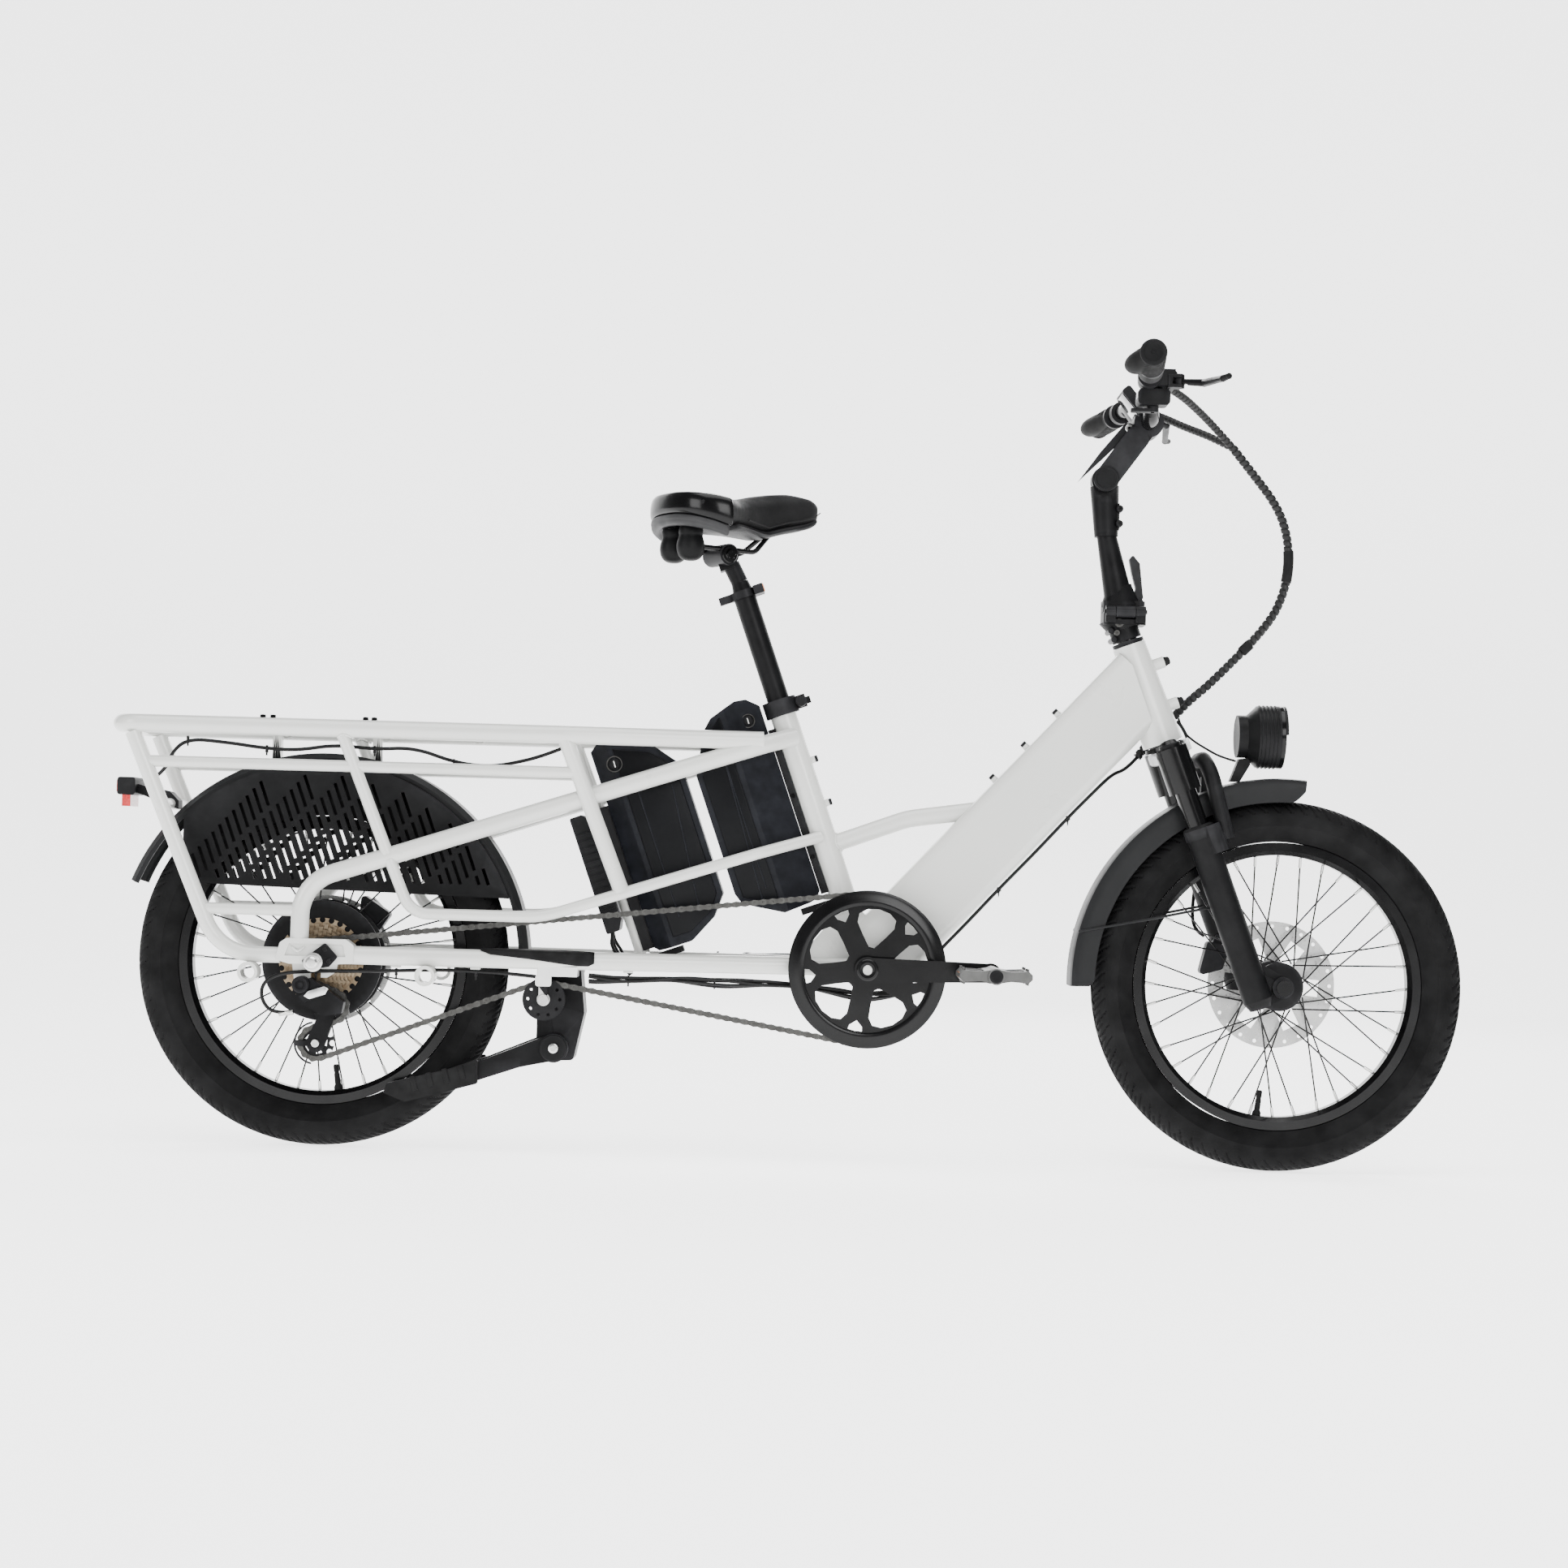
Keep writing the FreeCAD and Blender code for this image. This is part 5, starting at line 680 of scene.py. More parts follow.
def build_valve(end, centre, degrees):
    angle = math.radians(degrees)
    ray = Vector((math.cos(angle), 0, math.sin(angle)))
    root = centre + ray * 0.1845
    turned(f"{end}_valve", root, -ray, [(0, 0), (6.2, 0), (6, 5), (4.2, 8), (4, 22), (3.4, 24),
        (3.4, 26), (3.9, 26.5), (3.9, 34), (3, 36), (0, 36.2)], "rubber", f"{end}_wheel", 20, 35)


def build_wheels():
    for end, centre in (("front", FRONT), ("rear", REAR)):
        build_tyre(end, centre)
    build_valve("front", FRONT, -97)
    build_valve("rear", REAR, -82)


build_wheels()


# ---- chain

CHAIN_PITCH = 0.0127


def pitch_radius(teeth):
    return CHAIN_PITCH / (2 * math.sin(math.pi / teeth))


# wheels in the chain's order; a negative radius is a wheel the chain passes outside of
DRIVE = [(BRACKET, pitch_radius(52)), (IDLER, -0.024), (at(-655, 0, 146.6), pitch_radius(11)),
    (at(-636, 0, 197), -pitch_radius(11)), (REAR, pitch_radius(14))]


def chain_line(spacing):
    """Points evenly spaced along the chain's closed path round its five wheels."""
    runs = []
    for (here, radius), (there, other) in zip(DRIVE, DRIVE[1:] + DRIVE[:1]):
        gap = there - here
        length = math.hypot(gap.x, gap.z)
        heading = math.atan2(gap.z, gap.x) - math.asin((radius - other) / length)
        left = Vector((-math.sin(heading), 0, math.cos(heading)))
        runs.append((Vector((here.x, 0, here.z)) + left * radius,
            Vector((there.x, 0, there.z)) + left * other))
    path = []
    for index, (start, end) in enumerate(runs):
        centre, radius = DRIVE[(index + 1) % len(DRIVE)]
        after = runs[(index + 1) % len(runs)][0]
        path.append(start)
        first = math.atan2(end.z - centre.z, end.x - centre.x)
        last = math.atan2(after.z - centre.z, after.x - centre.x)
        turn = (first - last) % (2 * math.pi) if radius > 0 else -((last - first) % (2 * math.pi))
        count = max(4, int(abs(turn) * abs(radius) / 0.0015))
        for step in range(count + 1):
            angle = first - turn * step / count
            path.append(Vector((centre.x + abs(radius) * math.cos(angle), 0,
                centre.z + abs(radius) * math.sin(angle))))
    path.append(path[0])
    total = sum((b - a).length for a, b in zip(path, path[1:]))
    count = 2 * round(total / spacing / 2)
    return spaced(path, [total * index / count for index in range(count)])


def link_outline(start, end, wide, waist):
    """Figure-of-eight outline of a chain side plate."""
    run = (end - start).normalized()
    out = Vector((-run.z, 0, run.x))
    points = []
    for centre, sign in ((end, 1), (start, -1)):
        for step in range(9):
            angle = math.radians(-105 + step * 210 / 8)
            points.append(centre + (run * math.cos(angle) * sign + out * math.sin(angle) * sign) * wide)
        points.append((start + end) / 2 + out * waist * sign)
    return points


def build_chain():
    """Inner and outer links in turn, with rollers and riveted pin ends."""
    pins = chain_line(CHAIN_PITCH)
    piece = Piece("chain_links")
    for index, (start, end) in enumerate(zip(pins, pins[1:] + pins[:1])):
        offset = 0.0026 if index % 2 else 0.0037
        for side in (-1, 1):
            low = CHAIN_Y + side * offset - 0.00045
            outline = [point + Vector((0, low, 0)) for point in link_outline(start, end, 0.0042, 0.0029)]
            piece.prism(outline, Vector((0, 0.0009, 0)))
        piece.lathe(start + Vector((0, CHAIN_Y - 0.0046, 0)), Y_AXIS,
            [(0, 0), (1.6, 0.1), (1.8, 0.4), (1.8, 2.1), (3.9, 2.2), (3.9, 7), (1.8, 7.1), (1.8, 8.8),
            (1.6, 9.1), (0, 9.2)], 12)
    chain = piece.done("chain", "frame", 30, slot="chain_steel")
    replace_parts(chain, "chain")


build_chain()


# ---- saddle

SADDLE_FOOT = at(-106, 0, 851)
SADDLE_TURN = Matrix.Rotation(math.radians(30), 3, "Z")


def on_saddle(x, y, z):
    """Point in the saddle's own millimetres, nose along +X, turned as it stands."""
    return SADDLE_FOOT + SADDLE_TURN @ Vector((x, y, z)) / 1000


def saddle_ring(piece, x, half_width, low, high, steps=28, grow=0.0):
    """Rounded section of the saddle, flat below and crowned above."""
    ring = []
    middle_z = (low + high) / 2 + 3
    for step in range(steps):
        angle = 2 * math.pi * step / steps
        across = math.cos(angle)
        rise = math.sin(angle)
        power = 0.62 if rise > 0 else 0.5
        y = (half_width + grow) * math.copysign(abs(across) ** 0.78, across)
        if rise > 0:
            z = middle_z + (high - middle_z + grow) * rise ** power
        else:
            z = middle_z - (middle_z - low + grow) * abs(rise) ** power
        ring.append(piece.vert(on_saddle(x, y, z)))
    return ring


SADDLE_SECTIONS = [(-96, 62, 46, 68), (-84, 80, 40, 73), (-66, 89, 34, 75), (-46, 86, 31, 73),
    (-26, 76, 29, 71), (-6, 62, 28, 70), (14, 49, 27, 74), (34, 40, 24, 79), (50, 35, 22, 82),
    (62, 32, 26, 84), (86, 28, 33, 87), (110, 26, 38, 89), (130, 22, 44, 89), (143, 15, 52, 84)]


def inflate(obj, pressure, cap):
    """Cloth under pressure fills the shell; no point moves further than cap metres."""
    mesh = obj.data
    before = [vertex.co.copy() for vertex in mesh.vertices]
    cloth = obj.modifiers.new("cloth", "CLOTH")
    settings = cloth.settings
    settings.quality = 6
    settings.mass = 0.3
    settings.tension_stiffness = settings.compression_stiffness = 25
    settings.shear_stiffness = 12
    settings.bending_stiffness = 2
    settings.use_pressure = True
    settings.uniform_pressure_force = pressure
    settings.effector_weights.gravity = 0
    scene = bpy.context.scene
    for moment in range(1, 21):
        scene.frame_set(moment)
    settled = obj.evaluated_get(bpy.context.evaluated_depsgraph_get()).to_mesh()
    after = [vertex.co.copy() for vertex in settled.vertices]
    obj.modifiers.remove(cloth)
    scene.frame_set(1)
    for vertex, old, new in zip(mesh.vertices, before, after):
        move = new - old
        if move.length > cap:
            move *= cap / move.length
        vertex.co = old + move


def build_saddle_cover():
    piece = Piece("saddle_cover")
    rings = [saddle_ring(piece, *section, grow=-2.5) for section in SADDLE_SECTIONS]
    rings.insert(0, [piece.vert(on_saddle(-99, 0, 54))])
    rings.append([piece.vert(on_saddle(147, 0, 66))])
    piece.skin(rings)
    cover = piece.done("saddle", "seat_group", 60)
    bpy.context.view_layer.objects.active = cover
    remesh = cover.modifiers.new("remesh", "REMESH")
    remesh.mode = "VOXEL"
    remesh.voxel_size = 0.0045
    even = bpy.data.meshes.new_from_object(cover.evaluated_get(bpy.context.evaluated_depsgraph_get()))
    cover.modifiers.clear()
    cover.data = even
    inflate(cover, 4, 0.004)
    relax = cover.modifiers.new("relax", "SMOOTH")
    relax.factor = 0.5
    relax.iterations = 6
    finer = cover.modifiers.new("subdivision", "SUBSURF")
    finer.levels = finer.render_levels = 1
    cover.data.shade_smooth()
    return cover


def saddle_band(name, look, rows, reach, subdivide=1):
    """Strip round the saddle's rear; rows of (outset, height at the tail, height at the hips)."""
    piece = Piece(name)
    lines = []
    count = 40
    for outset, tail, hip in rows:
        line = []
        for step in range(count + 1):
            turn = math.radians(reach * (2 * step / count - 1))
            x = -34 - (64 + outset) * math.cos(turn)
            y = (90 + outset) * math.copysign(abs(math.sin(turn)) ** 0.8, turn)
            z = tail + (hip - tail) * (1 - math.cos(turn))
            line.append(piece.vert(on_saddle(x, y, z)))
        lines.append(line)
    lines.append(lines[0])
    piece.skin(lines, closed_ring=False)
    for end in (0, count):
        piece.bm.faces.new([line[end] for line in lines[:-1]])
    return piece.done(look, "seat_group", 50, subdivide, slot="black_plastic")


def build_saddle():
    cover = build_saddle_cover()
    bumper = saddle_band("saddle_bumper", "gloss_black", [(-4, 76, 65), (1.5, 75, 63), (5.0, 70, 55),
        (6.4, 57, 40), (5.6, 49, 28), (3.0, 45, 22), (-4, 45, 22), (-5, 58, 40)], 84)
    trim = saddle_band("saddle_trim", "grey_trim", [(-5, 46, 23), (2.4, 45, 22), (4.4, 43, 20),
        (4.6, 38, 15), (3.6, 37, 14), (3.9, 33, 11), (1.2, 29, 8), (-4, 28, 7), (-9, 29, 9),
        (-10, 40, 18)], 80)
    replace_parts(cover, "saddle")
    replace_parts(bumper, "saddle")
    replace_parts(trim, "saddle")
    seam = Piece("saddle_seam")
    for side in (-1, 1):
        line = [on_saddle(x, side * (half + 0.3), low + 13)
            for x, half, low, high in SADDLE_SECTIONS[5:]]
        seam.tube([line[0].lerp(line[1], 0.5)] + line[1:], 0.0009, 8)
    seam.done("saddle", "seat_group")
    skirt = Piece("saddle_skirt")
    rings = []
    for x, half, low, high in SADDLE_SECTIONS[4:]:
        rings.append([skirt.vert(on_saddle(x, y, z)) for y, z in ((half * 0.93, low + 9),
            (half * 0.97, low + 2), (half * 0.8, low - 3), (-half * 0.8, low - 3),
            (-half * 0.97, low + 2), (-half * 0.93, low + 9))])
    skirt.skin(rings)
    skirt.bm.faces.new(rings[0])
    skirt.bm.faces.new(rings[-1][::-1])
    skirt.done("plastic", "seat_group", 50, 1)
    for name, side in SIDES:
        foot = on_saddle(-71, 25 * side, 0)
        spring = Piece(f"elastomer_{name}")
        spring.lathe(foot, Z_AXIS, [(0, -20), (8, -19.4), (14, -16.5), (18, -11), (19.7, -4), (20, 1),
            (19.2, 7), (17.2, 13), (16.6, 15.5), (17.2, 18), (17.6, 21), (16.8, 26), (15, 30), (0, 31)],
            40)
        spring.done("plastic", "seat_group", 30, 1)
        centre = on_saddle(-9, 26 * side, -6)
        outward = SADDLE_TURN @ (Y_AXIS * side)
        turned(f"clamp_nut_{name}", centre, outward, [(12.5, -2), (12.5, 1), (11, 2.2), (7.5, 2.4),
            (7.2, 4, 6), (7.2, 6, 6), (6, 6.8), (2.5, 6.8), (2.2, 5.6), (0, 5.6)], "gloss_black",
            "seat_group", 36, 30)


build_saddle()


# ---- grips

BAR_INNER = Vector((471, 118, 1088))
BAR_OUTER = Vector((450, 340, 1092.5))
GRIP_START = 118
GRIP_END = 340


def on_bar(side, across):
    share = (across - BAR_INNER.y) / (BAR_OUTER.y - BAR_INNER.y)
    point = BAR_INNER + (BAR_OUTER - BAR_INNER) * share
    return at(point.x, side * point.y, point.z)


def grip_radius(across, angle, start):
    """Ribbed grip whose palm side spreads into a wing behind the bar."""
    share = (across - start) / (GRIP_END - start)
    wing = max(0.0, math.sin(math.pi * min(1, max(0, (share - 0.12) / 0.86)) ** 1.15))
    lean = math.cos(angle)
    body = 0.0163 + 0.0010 * math.sin(math.pi * share)
    body += 0.0215 * wing * max(0.0, lean) ** 5
    ribs = 0.00055 * (1 if math.sin(across * 1.65 + 2.2 * math.sin(angle)) > 0.1 else -0.4)
    return body + (ribs if 0.06 < share < 0.95 and lean < 0.8 else 0)


def build_grip(name, side, start):
    axis = (on_bar(side, GRIP_END) - on_bar(side, GRIP_START)).normalized()
    back = Vector((-0.94, 0, -0.34))
    back = (back - axis * back.dot(axis)).normalized()
    up = axis.cross(back)
    piece = Piece(f"grip_{name}")
    rings = []
    count = 150
    for index in range(count + 1):
        across = start + (GRIP_END - start) * index / count
        ring = []
        for step in range(64):
            angle = 2 * math.pi * step / 64
            reach = grip_radius(across, angle, start)
            ring.append(piece.vert(on_bar(side, across) + (back * math.cos(angle) + up *
                math.sin(angle)) * reach))
        rings.append(ring)
    for end, across in ((0, start), (-1, GRIP_END)):
        rim = [piece.vert(on_bar(side, across) + (vertex.co - on_bar(side, across)) * 0.72)
            for vertex in rings[end]]
        rings.insert(0 if end == 0 else len(rings), rim)
    piece.skin(rings)
    grip = piece.done("rubber", "cockpit", 50)
    turned(f"grip_cap_{name}", on_bar(side, 339), axis, [(12, -1), (17.6, -0.8), (18, 1), (17.2, 2.6),
        (12.8, 3.1), (12, 2.6), (3.4, 2.6), (3, 2), (0, 2)], "plastic", "cockpit", 48, 35)
    turned(f"grip_collar_{name}", on_bar(side, start), -axis,
        [(11.2, -4), (17.2, -4), (17.8, -2), (17.8, 3), (16.8, 4.4), (11.2, 4.4)], "black", "cockpit",
        40, 35, closed=True)
    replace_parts(grip, "grips")


build_grip("right", -1, 250)
build_grip("left", 1, 216)


# ---- bolts and weld beads

def build_bolts():
    """Bottle bosses, head-tube plugs and the rack's threaded knobs."""
    bosses = Piece("boss_bolts")
    stubs = Piece("boss_stubs")
    stub = [(6, 0), (5.2, 1), (5, 5.8), (4.4, 6.4), (0, 6.4)]
    for along in (445, 381, 317):
        bosses.bolt(on_down(along, 53.2) + DOWN_OUT * 0.0052, DOWN_OUT, 4.6, 4)
        stubs.lathe(on_down(along, 52), DOWN_OUT, stub, 28)
    for along in (302, 238):
        bosses.bolt(on_seat(along, 18.2) + SEAT_FRONT * 0.0052, SEAT_FRONT, 4.6, 4)
        stubs.lathe(on_seat(along, 17), SEAT_FRONT, stub, 28)
    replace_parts(bosses.done("black", "frame", 30, slot="bare_steel"), "frame_fasteners")
    stubs.done("frame", "frame", 30)
    plugs = Piece("head_plugs")
    for below in (38, 98):
        plugs.lathe(on_steer(below, 38.5), STEER_FRONT, [(0, 0), (6.8, 0), (6.8, 3.6), (6, 4.6),
            (5.8, 7.4), (4.2, 9), (0, 9.4)], 32)
    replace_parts(plugs.done("rubber", "frame", 30), "frame_fasteners")
    knobs = Piece("rack_knobs")
    for x in (-738, -724, -596, -584):
        for y in (-88, 88):
            knobs.lathe(at(x, y, 590.5), Z_AXIS, [(0, 0), (6.2, 0), (6.2, 2.2), (4.5, 3), (4.5, 4.8),
                (3.6, 5.2), (4.4, 5.8), (3.6, 6.6), (4.4, 7.2), (3.6, 7.8), (4.2, 8.6), (0, 9.4)], 20)
    knobs.done("black", "frame", 30)


def run_out(place, heading, near, core, core_radius):
    """How far along heading a line from place meets a round tube on its way out."""
    offset = place - near
    offset -= core * offset.dot(core)
    slope = heading - core * heading.dot(core)
    a = slope.dot(slope)
    b = offset.dot(slope)
    c = offset.dot(offset) - core_radius ** 2
    inside = b * b - a * c
    return (-b + math.sqrt(inside)) / a if inside > 0 else None


def weld(piece, start, end, radius, near, far, core_radius):
    """Rippled bead where the tube start-end leaves the tube near-far; all in metres."""
    heading = (end - start).normalized()
    core = (far - near).normalized()
    side, up = frame_about(heading)
    bead = []
    steps = 72
    for step in range(steps):
        angle = 2 * math.pi * step / steps
        foot = start + (side * math.cos(angle) + up * math.sin(angle)) * radius
        reach = run_out(foot, heading, near, core, core_radius)
        if reach is None:
            return piece
        bead.append(foot + heading * (reach + 0.0004))
    return piece.tube(bead, 0.0016, 8, closed=True, reach=lambda index,
        angle: 0.0017 + 0.0004 * math.cos(index * 1.745))


def build_welds():
    piece = Piece("weld_beads")
    top = on_seat(366.5)
    seat = (on_seat(0), top)
    weld(piece, at(44, 0, 438), at(160, 0, 481), 0.0125, *seat, 0.0185)
    weld(piece, on_seat(340), on_seat(372), 0.0186, at(-4, -20, 591), at(-50, -60, 576.3), 0.010)
    for side in (-1, 1):
        y = 88 * side
        rail = (at(-906, y, 583), at(-330, y, 583))
        brace = (at(-678, y, 368.6), at(-50, 60 * side, 576.3))
        foot = (at(-345, y, 330), at(-50, 60 * side, 425.9))
        chainstay = (at(-612, y, 270.5), at(-420, y, 270.5))
        weld(piece, at(-628, y, 583), at(-560, y, 411), 0.0095, *rail, 0.0125)
        weld(piece, at(-560, y, 411), at(-628, y, 583), 0.0095, *brace, 0.0125)
        weld(piece, at(-319, 86 * side, 583), at(-236, 78 * side, 368), 0.0125, *rail, 0.0125)
        weld(piece, at(-236, 78 * side, 368), at(-319, 86 * side, 577), 0.0125, *foot, 0.010)
        weld(piece, at(-557, y, 408), at(-526, y, 330), 0.010, *brace, 0.0125)
        weld(piece, at(-4, 20 * side, 591), at(-50, 60 * side, 576.3), 0.0125, *seat, 0.0185)
        weld(piece, at(38, 18 * side, 452), at(-50, 60 * side, 425.9), 0.010, *seat, 0.0185)
        weld(piece, at(-678, y, 270.5), at(-678, y, 368), 0.0125, *chainstay, 0.0130)
        for x in (-731, -590, -455):
            weld(piece, at(x, y, 583), at(x, 0, 583), 0.010, *rail, 0.0125)
    piece.done("frame", "frame", 60)


build_bolts()
build_welds()


# ---- batteries

def battery_panel(name, outline, body):
    """Raised moulded panel on each flat side of a battery."""
    for word, side in SIDES:
        piece = Piece(f"{name}_panel_{word}")
        rim = [on_seat(along, ahead, 41.6 * side) for along, ahead in outline]
        piece.prism(rim, Y_AXIS * side * 0.0017, 0.0013, 3)
        piece.done("battery", body, 30)


def key_cylinder(name, along, ahead, side, depth, radius, body):
    """Lock barrel with its slot and a bright ring; radius in millimetres."""
    place = on_seat(along, ahead, depth * side)
    outward = Y_AXIS * side
    turned(name, place, outward, [(0, 0), (radius, 0), (radius, 3), (radius * 0.93, 4.2),
        (radius * 0.84, 4.2), (radius * 0.80, 2.8), (radius * 0.68, 2.8), (radius * 0.66, 5),
        (radius * 0.58, 5.6), (0, 5.6)], "black", body, 48)
    slot = Piece(name + "_slot")
    slot.box(place + outward * 0.0056, (SEAT_UP, SEAT_FRONT, outward),
        (radius * 0.00042, radius * 0.00007, 0.0004), 0.0003)
    slot.done("steel", body)
    turned(name + "_ring", place, outward, [(radius * 0.94, 3.6), (radius * 0.99, 4.2),
        (radius * 0.93, 5), (radius * 0.86, 4.5)], "chain", body, 48, 40, closed=True)


def build_batteries():
    battery_panel("front_battery", [(124, -86), (124, -90), (148, -133), (324, -134.5), (380, -108),
        (397, -88), (397, -86)], "front_battery")
    battery_panel("rear_battery", [(126, -243), (126, -216), (145, -180), (166, -166), (330, -166),
        (356, -171), (382, -195), (402, -243)], "rear_battery")
    for name, body, lines in (("battery_creases", "front_battery",
            (((150, -98), (372, -98)), ((138, -108), (378, -96)))),
            ("rear_battery_creases", "rear_battery", (((150, -226), (360, -226)),
            ((150, -196), (330, -178))))):
        creases = Piece(name)
        for side in (-1, 1):
            for ends in lines:
                creases.tube([on_seat(along, ahead, 43.1 * side) for along, ahead in ends], 0.0011, 8)
        creases.done("battery", body, 60)
    key_cylinder("front_key", 381, -50, -1, 26, 10, "front_battery")
    key_cylinder("rear_key", 381, -246, -1, 39, 11.5, "rear_battery")
    screws = Piece("dock_screws")
    for along in (352, 262, 172):
        screws.bolt(on_seat(along, -22, -11), -Y_AXIS, 3, 1.8)
    screws.done("gloss_black", "frame", 30)
    edge = Piece("controller_fins")
    for along in range(182, 312, 10):
        edge.box(on_seat(along, -318, 0), (SEAT_UP, SEAT_FRONT, Y_AXIS), (0.0018, 0.0102, 0.0392),
            0.0008)
    edge.done("plastic", "frame")


build_batteries()


# ---- drive train and stand

def build_drive_details():
    for name, side in SIDES:
        turned(f"crank_bolt_{name}", BRACKET + Y_AXIS * side * 0.088, Y_AXIS * side,
            [(15, -2), (15, 1), (13.8, 2.2), (11.2, 2.4), (10.4, 1.2), (7.8, 1), (0, 1)], "gloss_black",
            "crank", 48)
        turned(f"crank_key_{name}", BRACKET + Y_AXIS * side * 0.089, Y_AXIS * side,
            [(7, -1), (7, 1.4), (6.2, 2.4), (4.2, 2.4, 6), (4, 0.4, 6), (0, 0.4)], "steel", "crank", 32)
    turned("guard_face", BRACKET + Y_AXIS * CHAIN_Y, -Y_AXIS,
        [(88.6, 6), (88.8, 8.6), (90.5, 9.4), (96.8, 9.4), (98.2, 8.6), (106.2, 8.6), (108.6, 8.2),
        (109.6, 7), (109.6, 5.2), (108.4, 4.6)], "gloss_black", "crank", 180)
    turned("idler_bolt", at(-340.5, -75.6, 215.9), -Y_AXIS, [(7.6, -1), (7.6, 1.6), (7, 2.4), (6, 2.4),
        (5.8, 1.2), (3.6, 1.2, 6), (3.6, 0.2, 6), (0, 0.2)], "steel", "frame")
    turned("stand_bolt", at(-326, -56.8, 147.6), -Y_AXIS, [(7.2, -4), (7.2, 0.2), (6.6, 2.6), (5.4, 3),
        (3.6, 3, 6), (3.6, 1.2, 6), (0, 1.2)], "steel", "kickstand")
    turned("stand_disc", at(-326, -53.6, 147.6), -Y_AXIS, [(19, -1), (19, 1.2), (17.8, 2.2), (8, 2.4),
        (0, 2.4)], "plastic", "kickstand", 56, 30)
    ribs = Piece("stand_foot_ribs")
    for side in (-1, 1):
        for x, z in ((-452, 112), (-474, 106), (-496, 100), (-518, 94)):
            ribs.box(at(x, 60.2 * side, z), (Vector((0.96, 0, 0.27)), Vector((-0.27, 0, 0.96)), Y_AXIS),
                (0.0036, 0.0100, 0.0011), 0.0006)
    ribs.done("rubber", "kickstand")
    guard = Piece("chainstay_guard")
    rows = []
    for x, low, high in ((-427, 282, 284), (-413, 277, 284.2), (-361, 272, 284.3), (-321, 267, 283.8),
            (-293, 264, 283), (-279, 264, 282.6), (-271, 268, 282)):
        y = -88 if x < -420 else -88 + (x + 420) * 0.1333
        rows.append([guard.vert(at(x, y + 13.4 * math.cos(turn) * -1, 270.5 + 13.4 * math.sin(turn)))
            for turn in [math.asin(max(-1, min(1, (height - 270.5) / 13.4))) for
            height in [low + (high - low) * part / 6 for part in range(7)]]])
    guard.skin(rows, closed_ring=False)
    sheet = guard.done("rubber", "frame", 60)
    thick = sheet.modifiers.new("thickness", "SOLIDIFY")
    thick.thickness = 0.0016
    thick.offset = 1


def build_hanger_details():
    """Axle nuts, torque plate bolts and the derailleur's cover, spring, bolts and barrel."""
    turned("axle_nut", REAR - Y_AXIS * 0.104, -Y_AXIS, [(13.2, -1), (13.2, 1.4), (11.2, 1.8),
        (10, 2, 6), (10, 10, 6), (8.8, 11.2), (8.2, 15), (5.6, 17.2), (0, 17.6)], "steel", "frame")
    turned("axle_nut_left", REAR + Y_AXIS * 0.104, Y_AXIS, [(15, -1), (15, 1.4), (12.4, 1.8),
        (11.2, 2, 6), (11.2, 10, 6), (9.6, 11.2), (0, 11.8)], "alloy", "frame", slot="bare_steel")
    plates = Piece("torque_bolts")
    for x, z in ((-640, 278), (-660, 264), (-634, 262)):
        plates.bolt(at(x, -104.8, z), -Y_AXIS, 3.6, 2.4)
    plates.done("gloss_black", "frame", 30)
    cover = Piece("derailleur_cover")
    cover.prism([at(x, -99.6, z) for x, z in ((-668, 213), (-662, 220), (-640, 227), (-634, 224),
        (-638, 216), (-660, 209))], Vector((0, -0.0028, 0)), 0.0012, 3)
    cover.done("alloy", "frame", 40)
    spring = Piece("derailleur_spring")
    turns = []
    for step in range(150):
        angle = 2 * math.pi * step / 18
        turns.append(at(-662 + 34 * step / 150, 0, 203 + 2 * step / 150) +
            Vector((0, -0.086 + 0.0052 * math.cos(angle), 0.0052 * math.sin(angle))))
    spring.tube(turns, 0.0008, 8)
    spring.done("steel", "frame")
    for name, centre in (("guide", DRIVE[3][0]), ("tension", DRIVE[2][0])):
        turned(f"{name}_bolt", centre + Vector((0, CHAIN_Y - 0.0108, 0)), -Y_AXIS,
            [(5.6, -1), (5.6, 1), (4.8, 1.8), (2.8, 1.8, 6), (2.8, 0.4, 6), (0, 0.4)], "steel", "frame")
    turned("hanger_bolt", at(-673, -99.8, 228.2), -Y_AXIS, [(11.2, -1), (11.2, 1.6), (10, 2.6),
        (6.6, 2.6), (6.2, 1.2), (3.6, 1.2, 6), (3.6, -0.4, 6), (0, -0.4)], "black", "frame")
    turned("cable_barrel", at(-690, -85, 188.6), Vector((-0.86, 0.02, -0.16)),
        [(0, -6), (3.6, -6), (3.6, 4), (2.8, 6), (2.8, 14), (0, 14.2)], "steel", "frame", 20, 30)


build_drive_details()
build_hanger_details()


# ---- pedals and reflectors

def reflector(name, place, axes, halves, look, body):
    shell = Piece(name)
    shell.box(place, axes, halves, min(halves) * 0.45, 3)
    shell.done(look, body, 40, slot="grey_plastic")


